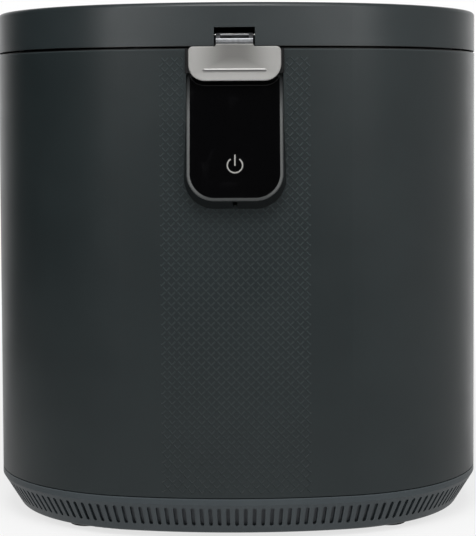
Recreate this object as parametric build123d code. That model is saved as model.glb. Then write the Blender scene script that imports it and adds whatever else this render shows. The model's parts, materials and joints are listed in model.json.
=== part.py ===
from build123d import *
import math
import os

# A counter-top electric food waste composter. X runs to the right, Y to the back and Z up.
# The control panel faces -Y and the machine stands on Z = 0. All sizes are millimetres.

# Overall form: a rounded box whose plan is drawn by three tangent arcs in each quarter.
WIDTH = 331.0
DEPTH = 276.0
FRONT_ARC = 334.0
SIDE_ARC = 338.0
CORNER_ARC = 117.0
WALL = 2.5
FIT = 0.3
RUNNING_FIT = 0.05

# OVERCUT is how far a cutting shape passes the surface that it cuts, and LAP is how far a
# shape that grows out of another one is sunk into it.
OVERCUT = 1.0
LAP = 0.5

# Height, from the feet to the lid.
FOOT_HEIGHT = 4.0
BASE_HEIGHT = 25.0
BASE_LIP = 4.0
BASE_TAPER = 13.0
BASE_EDGE_RADIUS = 3.0
BASE_SEAM = 0.6
BODY_HEIGHT = 283.2
LID_SEAM = 1.2
LID_HEIGHT = 27.4
LID_EDGE_RADIUS = 2.5
LID_CROWN_RADIUS = 5000.0

# Base ring, floor plate and feet.
SLOT_PITCH = 5.8
SLOT_WIDTH = 2.4
SLOT_HEIGHT = 13.0
SLOT_DROP = 12.9
PLATE_THICKNESS = 3.0
PLATE_VENT_COUNT = 12
PLATE_VENT_PITCH = 10.0
PLATE_VENT_WIDTH = 4.0
PLATE_VENT_FRONT = -70.0
PLATE_VENT_BACK = -45.0
RING_FLANGE = 7.0
RING_FLANGE_THICKNESS = 2.0
SPIGOT_HEIGHT = 6.0
SPIGOT_ROOT = 3.0
SPIGOT_THICKNESS = 2.0
FOOT_RADIUS = 12.0
FOOT_X = 100.0
FOOT_Y = 80.0
FOOT_EDGE_RADIUS = 1.0
FOOT_STEM_RADIUS = 3.5
FOOT_STEM_RISE = 1.0
POST_RADIUS = 6.0
POST_PLACES = ((-118.0, -60.0), (118.0, -60.0), (-134.0, 25.0), (134.0, 25.0))
SCREW_RADIUS = 1.5
SCREW_HEAD_RADIUS = 3.2
SCREW_HEAD_HEIGHT = 1.6
SCREW_LENGTH = 9.0
SCREW_RECESS = 1.8

# Drive under the bucket.
AXIS_Y = 1.0
MOTOR_LIFT = 6.0
MOTOR_RADIUS = 30.0
MOTOR_LENGTH = 67.0
MOTOR_WALL = 2.0
MOTOR_SHAFT_RADIUS = 2.5
ROTOR_CORE_RADIUS = 18.0
ROTOR_CORE_END = 14.0
WINDING_OVERHANG = 7.0
WINDING_INSET = 3.0
AIR_GAP = 0.6
GEARBOX_HEIGHT = 37.0
GEARBOX_WALL = 3.0
GEARBOX_SMALL_RADIUS = 23.0
GEARBOX_BOSS_RADIUS = 5.0
GEARBOX_BOSS_ANGLE = 57.0
GEARBOX_BEARING_WALL = 4.0
GEARBOX_BEARING_RISE = 3.0
GEAR_CLEARANCE = 2.0
CHASSIS_THICKNESS = 3.0
CHASSIS_GAP = 1.0
CHASSIS_SHAFT_GAP = 4.0
OUTPUT_TEETH = 56
OUTPUT_MODULE = 1.5
OUTPUT_PINION_TEETH = 14
INPUT_TEETH = 48
INPUT_MODULE = 1.0
INPUT_PINION_TEETH = 12
OUTPUT_GEAR_WIDTH = 12.0
INPUT_GEAR_WIDTH = 6.0
OUTPUT_GEAR_LIFT = 7.0
OUTPUT_HUB_RADIUS = 14.0
OUTPUT_HUB_RISE = 3.0
OUTPUT_WEB_INNER = 16.0
OUTPUT_RIM = 6.0
OUTPUT_WEB_THICKNESS = 5.0
GEAR_STEP = 2.0
PRESSURE_ANGLE = 25.0
BACKLASH = 0.14
OUTPUT_SHAFT_RADIUS = 7.0
OUTPUT_JOURNAL_RADIUS = 5.0
IDLER_PIN_RADIUS = 4.0
IDLER_HUB_RADIUS = 7.0
PINION_HUB_RADIUS = 4.5
DRIVE_HEX_TRIM = 0.07
DRIVE_HEX_FIT = 0.3
DRIVE_HEX_LENGTH = 12.5
DRIVE_HEX_SINK = 1.5

# Heated well and bucket.
HEATER_LIFT = 4.0
HEATER_THICKNESS = 9.0
HEATER_MARGIN = 3.0
HEATER_RING_INSET = 35.0
HEATER_TUBE_RADIUS = 3.6
HEATER_TUBE_FIT = 0.4
HEATER_GROOVE_DEPTH = 6.0
HEATER_LEG_INSET = 14.0
HEATER_LEG_RADIUS = 6.0
TERMINAL_RADIUS = 1.5
TERMINAL_DROP = 8.0
TERMINAL_HOLE_RADIUS = 4.0
TERMINAL_ANGLES = (-98.0, -82.0)
PROBE_INSET = 16.0
PROBE_ANGLE = 145.6
PROBE_RADIUS = 4.0
PROBE_HEIGHT = 3.0
PROBE_CLIP_REACH = 8.0
PROBE_CLIP_HALF_WIDTH = 2.0
PROBE_CLIP_THICKNESS = 1.5
WELL_WALL = 1.5
WELL_FLANGE = 3.0
DRIVE_OPENING_GAP = 2.0
JACKET_THICKNESS = 2.4
JACKET_LIFT = 3.0
SEAL_LIFT = 2.0
SEAL_DROP = 0.2
BUCKET_RADIUS = 100.0
BUCKET_WALL = 2.5
BUCKET_FLOOR = 3.0
BUCKET_FLANGE_WIDTH = 7.0
BUCKET_FLANGE_THICKNESS = 3.0
BUCKET_WELL_GAP = 2.5
BUCKET_CORNER_RADIUS = 8.0
HUMP_RADIUS = 27.0
HUMP_HEIGHT = 14.2
HUMP_WALL = 3.0
HUMP_EDGE_RADIUS = 2.0
BUSH_RADIUS = 8.0
BUSH_RIM = 3.0
BUSH_RIM_HEIGHT = 2.0
ROTOR_SHAFT_RADIUS = 6.0
COUPLING_RADIUS = 11.0
COUPLING_LENGTH = 11.2
HUB_RADIUS = 32.0
HUB_TOP_RADIUS = 13.0
HUB_HEIGHT = 40.0
HUB_TOP_EDGE = 5.0
HUB_LIFT = 2.5
HUB_CAP = 6.0
HUMP_CLEARANCE = 1.5
COUPLING_LIFT = 1.0
ARM_GAP = 9.5
ARM_COUNT = 3
UPPER_ARM_COUNT = 2
UPPER_ARM_LIFT = 25.0
UPPER_ARM_SHORTER = 30.0

# Half width at the bottom and height, where an arm leaves the hub and at its tip.
ARM_FOOT = (10.0, 20.0)
ARM_TIP = (6.0, 12.0)
ARM_LEAN = 2.0
UPPER_ARM_FOOT = (6.0, 10.0)
UPPER_ARM_TIP = (4.0, 7.0)
BLADE_COUNT = 3
BLADE_REACH = 30.0
BLADE_THICKNESS = 6.0
BLADE_HEIGHT = 11.0
BLADE_LIFT = 24.0
BLADE_FOOT_HALF_WIDTH = 9.0
BLADE_FOOT_DEPTH = 2.5
GRIP_REACH = 23.0
GRIP_HALF_WIDTH = 22.0
GRIP_HEIGHT = 3.0
GRIP_CORNER = 8.0
GRIP_EDGE = 0.8

# Top deck around the bucket.
DECK_DROP = 6.8
DECK_THICKNESS = 3.0
DECK_LEDGE = 9.0
DECK_LEDGE_HEIGHT = 4.0
POCKET_DEPTH = 16.0
POCKET_WALL = 2.0
POCKET_MARGIN = 2.0
POCKET_START_GAP = 5.0
POCKET_END_GAP = 12.0
POCKET_CORNER = 6.0
DECK_SCREW_COUNT = 8

# Air path: port in the deck, duct, fan, then the filter drawer at the back.
FAN_X = 104.0
FAN_Y = 74.0
FAN_RADIUS = 32.0
FAN_HEIGHT = 30.0
FAN_LIFT = 30.0
FAN_WALL = 2.0
FAN_LEG_RADIUS = 4.0
FAN_LEG_INSET = 5.0
FAN_LEG_ANGLES = (150.0, 240.0, 330.0)
FAN_COLLAR_HEIGHT = 8.0
FAN_COLLAR_WALL = 2.0
IMPELLER_RADIUS = 26.0
IMPELLER_LIFT = 2.0
IMPELLER_BLADES = 18
IMPELLER_BLADE_LENGTH = 14.0
IMPELLER_BLADE_THICKNESS = 1.2
IMPELLER_BLADE_INNER = 13.0
IMPELLER_BLADE_LEAN = 30.0
IMPELLER_HEIGHT = 20.0
IMPELLER_DISC = 1.5
IMPELLER_RIM = 4.0
IMPELLER_HUB_RADIUS = 8.0
IMPELLER_HUB_HEIGHT = 14.0
FAN_OUTLET_FRONT = 57.0
FAN_OUTLET_BACK = 75.0
FAN_SHAFT_RADIUS = 2.0
FAN_MOTOR_RADIUS = 14.0
FAN_MOTOR_HEIGHT = 12.0
DUCT_RADIUS = 19.0
DUCT_WALL = 2.0
PORT_RADIUS = 16.0
GRILLE_EDGE = 1.3
GRILLE_PLATE = 1.5
GRILLE_RIM = 1.0
GRILLE_PITCH = 4.0
GRILLE_SLOT_WIDTH = 2.2
GRILLE_SIDE_SLOTS = 3
DRAWER_WIDTH = 120.0
DRAWER_HEIGHT = 66.0
DRAWER_LIFT = 8.4
DRAWER_INNER_Y = 78.0
DRAWER_GAP = 0.6
DRAWER_HEADROOM = 1.0
DRAWER_CORNER = 4.0
DRAWER_FRONT_THICKNESS = 3.0
DRAWER_SLOT_COUNT = 17
DRAWER_SLOT_MARGIN = 8.0
TRAY_WALL = 2.0
TRAY_SETBACK = 17.0
MESH_THICKNESS = 2.0
MESH_COLUMNS = 9
MESH_ROWS = 5
MESH_BORDER = 6.0
MESH_BAR = 2.0
BAY_WALL = 2.0
BAY_FRONT_Y = 54.0
BAY_RING_GAP = 1.0
PULL_WIDTH = 60.0
PULL_HEIGHT = 15.0
PULL_DEPTH = 13.0
PULL_DROP = 7.0
PULL_WALL = 2.0
PULL_CORNER = 5.0
PULL_SINK = 1.2

# Electronics and power inlet.
BOARD_THICKNESS = 1.6
BOARD_LIFT = 8.0
BOARD_LEG_RADIUS = 3.0
BOARD_LEG_INSET = 5.0

# Each block on the board: its corner from the board's front left corner, then its sizes.
BOARD_BLOCKS = (
    (4.0, 24.0, 20.0, 19.0, 18.0),
    (28.0, 4.0, 18.0, 8.0, 14.0),
    (28.0, 16.0, 18.0, 8.0, 14.0),
    (32.0, 27.0, 3.0, 16.0, 22.0),
)
CAPACITOR_PLACES = ((11.0, 8.5), (11.0, 21.5))
CAPACITOR_RADIUS = 6.0
CAPACITOR_HEIGHT = 24.0
BOARD_LEFT = -118.0
BOARD_RIGHT = -68.0
BOARD_FRONT = 38.0
BOARD_BACK = 84.0
INLET_X = -95.0
INLET_LIFT = 30.4
INLET_WIDTH = 34.0
INLET_HEIGHT = 28.0
INLET_CORNER = 3.0
INLET_PROUD = 1.0
INLET_FLOOR = 6.0
INLET_SOCKET_WIDTH = 24.0
INLET_SOCKET_HEIGHT = 17.0
INLET_SOCKET_CHAMFER = 4.0
INLET_FLOOR_Y = 101.0
INLET_PIN_LENGTH = 12.0
INLET_PIN_HALF_WIDTH = 1.0
INLET_PIN_HALF_HEIGHT = 2.0
INLET_PIN_PLACES = ((-7.0, -2.0), (7.0, -2.0), (0.0, 2.5))

# Control panel: a wedge whose face leans back at the top.
PANEL_WIDTH = 60.3
PANEL_TILT = 12.5
PANEL_PROUD = 13.0
PANEL_HEIGHT = 79.1
PANEL_DROP = 15.8
PANEL_DEPTH = 19.0
PANEL_CLEARANCE = 6.0
PANEL_BACK_WALL = 2.0
PANEL_CORNER = 17.5
PANEL_TOP_CORNER = 2.0
PANEL_RIM = 2.0
PANEL_FLARE = 2.8
PANEL_FLARE_DEPTH = 16.0
PANEL_LEDGE = 2.0
PANEL_NOTCH_WIDTH = 2.7
PANEL_NOTCH_DEPTH = 1.2
PANEL_NOTCH_START = 0.8
PANEL_NOTCH_REACH = 8.0
PANEL_BOARD_GAP = 4.0
PANEL_BOARD_SHORTER = 24.0
PANEL_BOARD_RISE = 5.0
PANEL_CHIP = 10.0
PANEL_CHIP_HEIGHT = 1.2
GLASS_THICKNESS = 1.5
GLASS_SINK = 0.4
GLASS_GAP = 0.1
MARK_RADIUS = 5.4
MARK_STROKE = 1.1
MARK_UP = 22.6
MARK_BAR = 7.1
MARK_BAR_FOOT = 0.4
MARK_THICKNESS = 0.15
MARK_GAP_ANGLE = 35.0

# Latch: a lever on a pin in the lid, which snaps behind a leaf spring in the body.
RECESS_WIDTH = 62.0
RECESS_DEPTH = 12.0
RECESS_WALL = 1.5
RECESS_HEIGHT = 14.0
RECESS_SIDE_GAP = 0.1
LATCH_PIN_RADIUS = 0.6
LATCH_PIN_SETBACK = 5.5
LATCH_PIN_RISE = 7.2
LATCH_NOTCH_WIDTH = 25.6
LATCH_NOTCH_HEIGHT = 11.8
LATCH_EAR_REACH = 4.0
LATCH_BLOCK_DEPTH = 4.0
LATCH_BLOCK_RISE = 3.0
LATCH_BLOCK_LIFT = 1.0
PLATE_WIDTH = 58.0
PLATE_HEIGHT = 21.3
PLATE_DROP = 0.4
PLATE_SHEET = 1.6
PLATE_PROUD = 3.5
PLATE_TOP_CORNER = 3.0
PLATE_BOTTOM_CORNER = 10.4
PLATE_EDGE = 0.5
NECK_WIDTH = 23.0
NECK_HEIGHT = 1.5
NECK_SPREAD = 1.0
RIB_WIDTH = 41.7
RIB_HEIGHT = 3.0
RIB_RISE = 0.5
RIB_UP = 6.3
RIB_TAPER = 0.35
RIB_ROOT = 0.2
LEVER_THICKNESS = 2.0
LEVER_FOOT = 4.0
BAR_GAP = 0.5
BAR_DROP = 2.35
BAR_SETBACK = 0.6
BAR_EDGE = 1.0
BARREL_WALL = 0.6
LEVER_ARM_WIDTH = 2.5
LEVER_ARM_ROOT = 1.5
NOSE_WIDTH = 16.0
NOSE_DROP = 9.1
NOSE_HEIGHT = 3.5
NOSE_CLEARANCE = 0.6
NOSE_BEVEL = 0.5
NOSE_SLOPE = 1.5
SPRING_WIDTH = 18.0
SPRING_SHEET = 0.6
SPRING_BUMP = 2.6
SPRING_NOSE_GAP = 0.4
SPRING_RISE = 2.2
SPRING_BUMP_HEIGHT = 5.2
SPRING_INNER = 0.9
SPRING_LOW_END = 0.5
SPRING_TOP_END = 1.0

# Hinge behind the lid.
HINGE_X = 56.0
HINGE_SETBACK = 5.0
HINGE_RADIUS = 5.5
HINGE_PIN_RADIUS = 2.0
HINGE_ARM_WIDTH = 8.0
HINGE_KNUCKLE_WIDTH = 8.0
HINGE_SIDE_GAP = 0.3
HINGE_BLOCK_HEIGHT = 8.5
HINGE_BLOCK_DROP = 8.5
HINGE_BLOCK_CORNER = 6.0
HINGE_ARM_HEIGHT = 17.0
HINGE_ARM_CORNER = 8.0
HINGE_ARM_GAP = 0.8
HINGE_ROOT = 25.0

# Lid.
LINER_RISE = 4.0
LINER_THICKNESS = 2.5
LINER_FIT = 0.4
LINER_NOTCH_MARGIN = 1.0
LINER_NOTCH_DEPTH = 5.5
GASKET_INSET = 14.0
GASKET_WIDTH = 5.0
GASKET_LIP = 2.5
GASKET_LIP_HEIGHT = 2.7
LID_SCREW_COUNT = 6
LID_SCREW_INSET = 9.0
LID_BOSS_RADIUS = 4.0

# Levels worked out from the sizes above.
BASE_TOP = FOOT_HEIGHT + BASE_HEIGHT
PLATE_TOP = FOOT_HEIGHT + PLATE_THICKNESS
BODY_BOTTOM = BASE_TOP + BASE_SEAM
BODY_TOP = BODY_BOTTOM + BODY_HEIGHT
LID_BOTTOM = BODY_TOP + LID_SEAM
LID_TOP = LID_BOTTOM + LID_HEIGHT
DECK_TOP = BODY_TOP - DECK_DROP
DECK_BOTTOM = DECK_TOP - DECK_THICKNESS
LINER_BOTTOM = LID_BOTTOM + LINER_RISE
LINER_TOP = LINER_BOTTOM + LINER_THICKNESS
PLATE_SCREW_SEAT = FOOT_HEIGHT + SCREW_RECESS
MOTOR_BOTTOM = PLATE_TOP + MOTOR_LIFT
GEARBOX_BOTTOM = MOTOR_BOTTOM + MOTOR_LENGTH
GEARBOX_TOP = GEARBOX_BOTTOM + GEARBOX_HEIGHT
CHASSIS_TOP = GEARBOX_TOP + CHASSIS_THICKNESS
HEATER_BOTTOM = CHASSIS_TOP + HEATER_LIFT
WELL_BOTTOM = HEATER_BOTTOM + HEATER_THICKNESS
WELL_FLOOR_TOP = WELL_BOTTOM + WELL_WALL
BUCKET_BOTTOM = WELL_FLOOR_TOP + FIT
BUCKET_FLOOR_TOP = BUCKET_BOTTOM + BUCKET_FLOOR
BUCKET_RIM_BOTTOM = DECK_TOP + FIT
BUCKET_RIM_TOP = BUCKET_RIM_BOTTOM + BUCKET_FLANGE_THICKNESS
HUMP_TOP = BUCKET_FLOOR_TOP + HUMP_HEIGHT
WELL_RADIUS = BUCKET_RADIUS + BUCKET_WELL_GAP
BUCKET_FLANGE_RADIUS = BUCKET_RADIUS + BUCKET_FLANGE_WIDTH
HEATER_RADIUS = BUCKET_RADIUS - HEATER_MARGIN
HEATER_RING_RADIUS = HEATER_RADIUS - HEATER_RING_INSET
ARM_REACH = BUCKET_RADIUS - BUCKET_WALL - ARM_GAP
DRIVE_OPENING_RADIUS = COUPLING_RADIUS + DRIVE_OPENING_GAP
DRIVE_HEX = (OUTPUT_SHAFT_RADIUS - DRIVE_HEX_TRIM) * math.sqrt(3)
HEX_BOTTOM = WELL_FLOOR_TOP - DRIVE_HEX_SINK
HEX_TOP = HEX_BOTTOM + DRIVE_HEX_LENGTH
GEARBOX_FLOOR = GEARBOX_BOTTOM + GEARBOX_WALL
BEARING_TOP = GEARBOX_FLOOR + GEARBOX_BEARING_RISE
OUTPUT_GEAR_Z = GEARBOX_FLOOR + OUTPUT_GEAR_LIFT
INPUT_GEAR_Z = OUTPUT_GEAR_Z + OUTPUT_GEAR_WIDTH + GEAR_STEP
IDLER_X = -(OUTPUT_TEETH + OUTPUT_PINION_TEETH) * OUTPUT_MODULE / 2
MOTOR_X = IDLER_X - (INPUT_TEETH + INPUT_PINION_TEETH) * INPUT_MODULE / 2
SHELL_FRONT = -DEPTH / 2
SHELL_BACK = DEPTH / 2
HINGE_Y = SHELL_BACK + HINGE_SETBACK
HINGE_Z = (BODY_TOP + LID_BOTTOM) / 2
PIN_Y = SHELL_FRONT + LATCH_PIN_SETBACK
PIN_Z = LID_BOTTOM + LATCH_PIN_RISE
PLATE_FRONT = SHELL_FRONT - PLATE_PROUD
PLATE_BACK = PLATE_FRONT + PLATE_SHEET
PLATE_TOP_Z = LID_BOTTOM - PLATE_DROP
PLATE_BOTTOM_Z = PLATE_TOP_Z - PLATE_HEIGHT
RECESS_BACK = SHELL_FRONT + RECESS_DEPTH
RECESS_FLOOR_Z = BODY_TOP - RECESS_HEIGHT
NOSE_TOP_Z = BODY_TOP - NOSE_DROP
PANEL_TOP_Z = BODY_TOP - PANEL_DROP
PANEL_BOTTOM_Z = PANEL_TOP_Z - PANEL_HEIGHT
HUB_BOTTOM = BUCKET_FLOOR_TOP + HUB_LIFT
GEARBOX_BIG_RADIUS = (OUTPUT_TEETH / 2 + 1) * OUTPUT_MODULE + GEAR_CLEARANCE + GEARBOX_WALL
DRAWER_BOTTOM = BODY_BOTTOM + DRAWER_LIFT
DRAWER_TOP = DRAWER_BOTTOM + DRAWER_HEIGHT
FAN_FLOOR_Z = DRAWER_BOTTOM + FAN_LIFT
INLET_Z = BODY_BOTTOM + INLET_LIFT


# ---- Plain shapes ----

def cylinder(radius, bottom, top, x=0.0, y=0.0):
    return Pos(x, y, (bottom + top) / 2) * Cylinder(radius, top - bottom)


def tube(outer, inner, bottom, top, x=0.0, y=0.0):
    hole = cylinder(inner, bottom - OVERCUT, top + OVERCUT, x, y)
    return cylinder(outer, bottom, top, x, y) - hole


def block(left, right, front, back, bottom, top):
    centre = Pos((left + right) / 2, (front + back) / 2, (bottom + top) / 2)
    return centre * Box(right - left, back - front, top - bottom)


def cross_pin(radius, left, right, y, z):
    return Pos((left + right) / 2, y, z) * Rot(0, 90, 0) * Cylinder(radius, right - left)


def side_profile(points, left, right):
    """A shape drawn as (y, z) points and carried along X."""
    face = make_face(Polyline([(left, y, z) for y, z in points], close=True))
    return extrude(face, right - left, dir=(1, 0, 0))


def around(count, first=0.0):
    return [first + 360.0 * i / count for i in range(count)]


def polar(radius, angle):
    turn = math.radians(angle)
    return radius * math.cos(turn), radius * math.sin(turn)


# ---- The plan outline, at any inset from the outer wall ----

def corner_centre():
    front = DEPTH / 2 - FRONT_ARC
    side = WIDTH / 2 - SIDE_ARC
    to_front = FRONT_ARC - CORNER_ARC
    to_side = SIDE_ARC - CORNER_ARC
    span = math.hypot(side, front)
    along = (span**2 + to_front**2 - to_side**2) / (2 * span)
    off = math.sqrt(to_front**2 - along**2)
    step_x, step_y = side / span, -front / span
    return along * step_x + off * step_y, front + along * step_y - off * step_x


def arc_point(centre, radius, aim):
    """The point at this radius from the centre, towards the aim."""
    dx, dy = aim[0] - centre[0], aim[1] - centre[1]
    reach = math.hypot(dx, dy)
    return centre[0] + radius * dx / reach, centre[1] + radius * dy / reach


def beyond(centre, far, radius):
    """The point at this radius from the centre, straight away from the far point."""
    return arc_point(centre, radius, (2 * centre[0] - far[0], 2 * centre[1] - far[1]))


def halfway(a, b):
    return (a[0] + b[0]) / 2, (a[1] + b[1]) / 2


def quarter_points(inset):
    front = (0.0, DEPTH / 2 - FRONT_ARC)
    side = (WIDTH / 2 - SIDE_ARC, 0.0)
    corner = corner_centre()
    start = (0.0, SHELL_BACK - inset)
    end = (WIDTH / 2 - inset, 0.0)
    first = beyond(corner, front, CORNER_ARC - inset)
    last = beyond(corner, side, CORNER_ARC - inset)
    return [
        start,
        arc_point(front, FRONT_ARC - inset, halfway(start, first)),
        first,
        arc_point(corner, CORNER_ARC - inset, halfway(first, last)),
        last,
        arc_point(side, SIDE_ARC - inset, halfway(last, end)),
        end,
    ]


def outline_edges(inset):
    edges = []
    for right, back in ((1, -1), (1, 1), (-1, 1), (-1, -1)):
        points = [(right * x, back * y) for x, y in quarter_points(inset)]
        if right * back > 0:
            points.reverse()
        for i in (0, 2, 4):
            edges.append(ThreePointArc(points[i], points[i + 1], points[i + 2]))
    return edges


def outline(inset, z=0.0):
    return Pos(0, 0, z) * make_face(outline_edges(inset))


def prism(inset, bottom, top):
    return extrude(outline(inset, bottom), top - bottom, dir=(0, 0, 1))


def band(outer_inset, inner_inset, bottom, top):
    return prism(outer_inset, bottom, top) - prism(inner_inset, bottom - OVERCUT, top + OVERCUT)


def outline_places(inset, count, offset=0.0):
    """Evenly spaced points on the outline, each with its direction along the wall."""
    path = Wire(outline_edges(inset))
    shares = [((i + offset) / count) % 1.0 for i in range(count)]
    return [(path.position_at(share), path.tangent_at(share)) for share in shares]


# ---- Screws, shared by every joint of the case ----

def screw(x, y, seat, up):
    """A pan-head screw. Its head rests on the seat and its shank runs the other way."""
    way = 1 if up else -1
    shank_end = seat + way * SCREW_LENGTH
    head_end = seat - way * SCREW_HEAD_HEIGHT
    shank = cylinder(SCREW_RADIUS, min(seat, shank_end), max(seat, shank_end), x, y)
    head = cylinder(SCREW_HEAD_RADIUS, min(seat, head_end), max(seat, head_end), x, y)
    return shank + head


def screw_hole(x, y, seat, up):
    way = 1 if up else -1
    end = seat + way * (SCREW_LENGTH + FIT)
    return cylinder(SCREW_RADIUS, min(seat, end), max(seat, end), x, y)


# ---- Base ----

def base_form(inset, bottom_gap=0.0):
    """The tapered tub below the body, with its straight lip."""
    bottom = FOOT_HEIGHT - bottom_gap
    lip_bottom = BASE_TOP - BASE_LIP
    slope = BASE_TAPER / (lip_bottom - FOOT_HEIGHT)
    low = outline(BASE_TAPER + inset + slope * bottom_gap, bottom)
    cone = loft([low, outline(inset, lip_bottom)], ruled=True)
    return cone + prism(inset, lip_bottom, BASE_TOP + bottom_gap)


def vent_slots():
    count = round(Wire(outline_edges(0)).length / SLOT_PITCH)
    middle = BASE_TOP - SLOT_DROP
    form = extrude(SlotOverall(SLOT_HEIGHT, SLOT_WIDTH, rotation=90), 2 * BASE_TAPER, both=True)
    cuts = []
    for place, along in outline_places(BASE_TAPER / 2, count):
        frame = Plane((place.X, place.Y, middle), x_dir=along, z_dir=along.cross(Vector(0, 0, 1)))
        cuts.append(frame.location * form)
    return cuts


def make_base_ring():
    shell = base_form(0)
    shell = fillet(shell.edges().group_by(Axis.Z)[0], BASE_EDGE_RADIUS)
    shell -= base_form(WALL, OVERCUT)
    flange = PLATE_TOP + FIT
    shell += band(BASE_TAPER, BASE_TAPER + RING_FLANGE, flange, flange + RING_FLANGE_THICKNESS)
    ring = shell - vent_slots()
    outer, inner = WALL + FIT, WALL + FIT + SPIGOT_THICKNESS
    root = BASE_TOP - SPIGOT_ROOT
    ring += band(outer, inner, root, BASE_TOP + SPIGOT_HEIGHT)
    return ring + band(WALL - LAP, inner, root, BASE_TOP)


def make_base_plate():
    bottom, top = FOOT_HEIGHT - OVERCUT, PLATE_TOP + OVERCUT
    plate = prism(BASE_TAPER + WALL + FIT, FOOT_HEIGHT, PLATE_TOP)
    for x, y in foot_places():
        plate -= cylinder(FOOT_STEM_RADIUS + FIT, bottom, top, x, y)
    for x, y in POST_PLACES:
        plate -= cylinder(SCREW_HEAD_RADIUS + FIT, bottom, PLATE_SCREW_SEAT, x, y)
        plate -= cylinder(SCREW_RADIUS, FOOT_HEIGHT, top, x, y)
    vents = []
    for i in range(PLATE_VENT_COUNT):
        left = (i - PLATE_VENT_COUNT / 2) * PLATE_VENT_PITCH
        right = left + PLATE_VENT_WIDTH
        vents.append(block(left, right, PLATE_VENT_FRONT, PLATE_VENT_BACK, bottom, top))
    return plate - vents


def foot_places():
    return [(x, y) for x in (-FOOT_X, FOOT_X) for y in (-FOOT_Y, FOOT_Y)]


def make_rubber_feet():
    feet = []
    for x, y in foot_places():
        pad = cylinder(FOOT_RADIUS, 0, FOOT_HEIGHT, x, y)
        pad = fillet(pad.edges().group_by(Axis.Z)[0], FOOT_EDGE_RADIUS)
        stem_top = PLATE_TOP + FOOT_STEM_RISE
        feet.append(pad + cylinder(FOOT_STEM_RADIUS, FOOT_HEIGHT - LAP, stem_top, x, y))
    return feet


def make_support_posts():
    posts = []
    for x, y in POST_PLACES:
        post = cylinder(POST_RADIUS, PLATE_TOP, GEARBOX_TOP, x, y)
        post -= screw_hole(x, y, PLATE_SCREW_SEAT, True)
        posts.append(post - screw_hole(x, y, CHASSIS_TOP, False))
    return posts


def make_chassis_plate():
    bottom, top = GEARBOX_TOP - OVERCUT, CHASSIS_TOP + OVERCUT
    plate = prism(WALL + CHASSIS_GAP, GEARBOX_TOP, CHASSIS_TOP)
    plate -= cylinder(OUTPUT_SHAFT_RADIUS + CHASSIS_SHAFT_GAP, bottom, top, 0, AXIS_Y)
    plate -= cylinder(DUCT_RADIUS + FIT, bottom, top, FAN_X, FAN_Y)
    for x, y in (*POST_PLACES, *gearbox_screw_places()):
        plate -= screw_hole(x, y, CHASSIS_TOP, False)
    for x, y in heater_terminal_places():
        plate -= cylinder(TERMINAL_HOLE_RADIUS, bottom, top, x, y)
    return plate


def make_case_screws():
    """Every screw fixed to the machine: below the posts, on the chassis and on the deck."""
    screws = [screw(x, y, PLATE_SCREW_SEAT, True) for x, y in POST_PLACES]
    for x, y in (*POST_PLACES, *gearbox_screw_places()):
        screws.append(screw(x, y, CHASSIS_TOP, False))
    screws += [screw(x, y, DECK_TOP, False) for x, y in deck_screw_places()]
    return screws


# ---- Body and deck ----

def panel_plane():
    tilt = math.radians(PANEL_TILT)
    origin = (0, SHELL_FRONT - PANEL_PROUD, PANEL_BOTTOM_Z)
    return Plane(origin, x_dir=(1, 0, 0), z_dir=(0, -math.cos(tilt), math.sin(tilt)))


def panel_length():
    return (PANEL_TOP_Z - PANEL_BOTTOM_Z) / math.cos(math.radians(PANEL_TILT))


def panel_sketch(inset, top_inset=None):
    """The upright face of the panel, with large corners below and small ones above."""
    top_gap = inset if top_inset is None else top_inset
    half = PANEL_WIDTH / 2 - inset
    low = max(PANEL_CORNER - inset, 1.0)
    high = max(PANEL_TOP_CORNER - inset, 0.5)
    bottom, top = inset, panel_length() - top_gap
    corner = math.sqrt(0.5)
    edges = [
        Line((-half + low, bottom), (half - low, bottom)),
        ThreePointArc((half - low, bottom),
                      (half - low + low * corner, bottom + low - low * corner),
                      (half, bottom + low)),
        Line((half, bottom + low), (half, top - high)),
        ThreePointArc((half, top - high),
                      (half - high + high * corner, top - high + high * corner),
                      (half - high, top)),
        Line((half - high, top), (-half + high, top)),
        ThreePointArc((-half + high, top),
                      (-half + high - high * corner, top - high + high * corner),
                      (-half, top - high)),
        Line((-half, top - high), (-half, bottom + low)),
        ThreePointArc((-half, bottom + low),
                      (-half + low - low * corner, bottom + low - low * corner),
                      (-half + low, bottom)),
    ]
    return make_face(edges)


def panel_solid(inset, front, back, top_inset=None):
    """Carries the panel face from one depth to another, square to its lean."""
    plane = panel_plane().offset(front)
    return extrude(plane * panel_sketch(inset, top_inset), back - front, dir=plane.z_dir)


def drawer_block(gap, front, back):
    half = DRAWER_WIDTH / 2 + gap
    form = block(-half, half, front, back, DRAWER_BOTTOM - gap, DRAWER_TOP + gap)
    return fillet(form.edges().filter_by(Axis.Y), DRAWER_CORNER)


def inlet_block(gap, front, back):
    left = INLET_X - INLET_WIDTH / 2 - gap
    right = INLET_X + INLET_WIDTH / 2 + gap
    bottom = INLET_Z - INLET_HEIGHT / 2 - gap
    top = INLET_Z + INLET_HEIGHT / 2 + gap
    form = block(left, right, front, back, bottom, top)
    return fillet(form.edges().filter_by(Axis.Y), INLET_CORNER)


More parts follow.
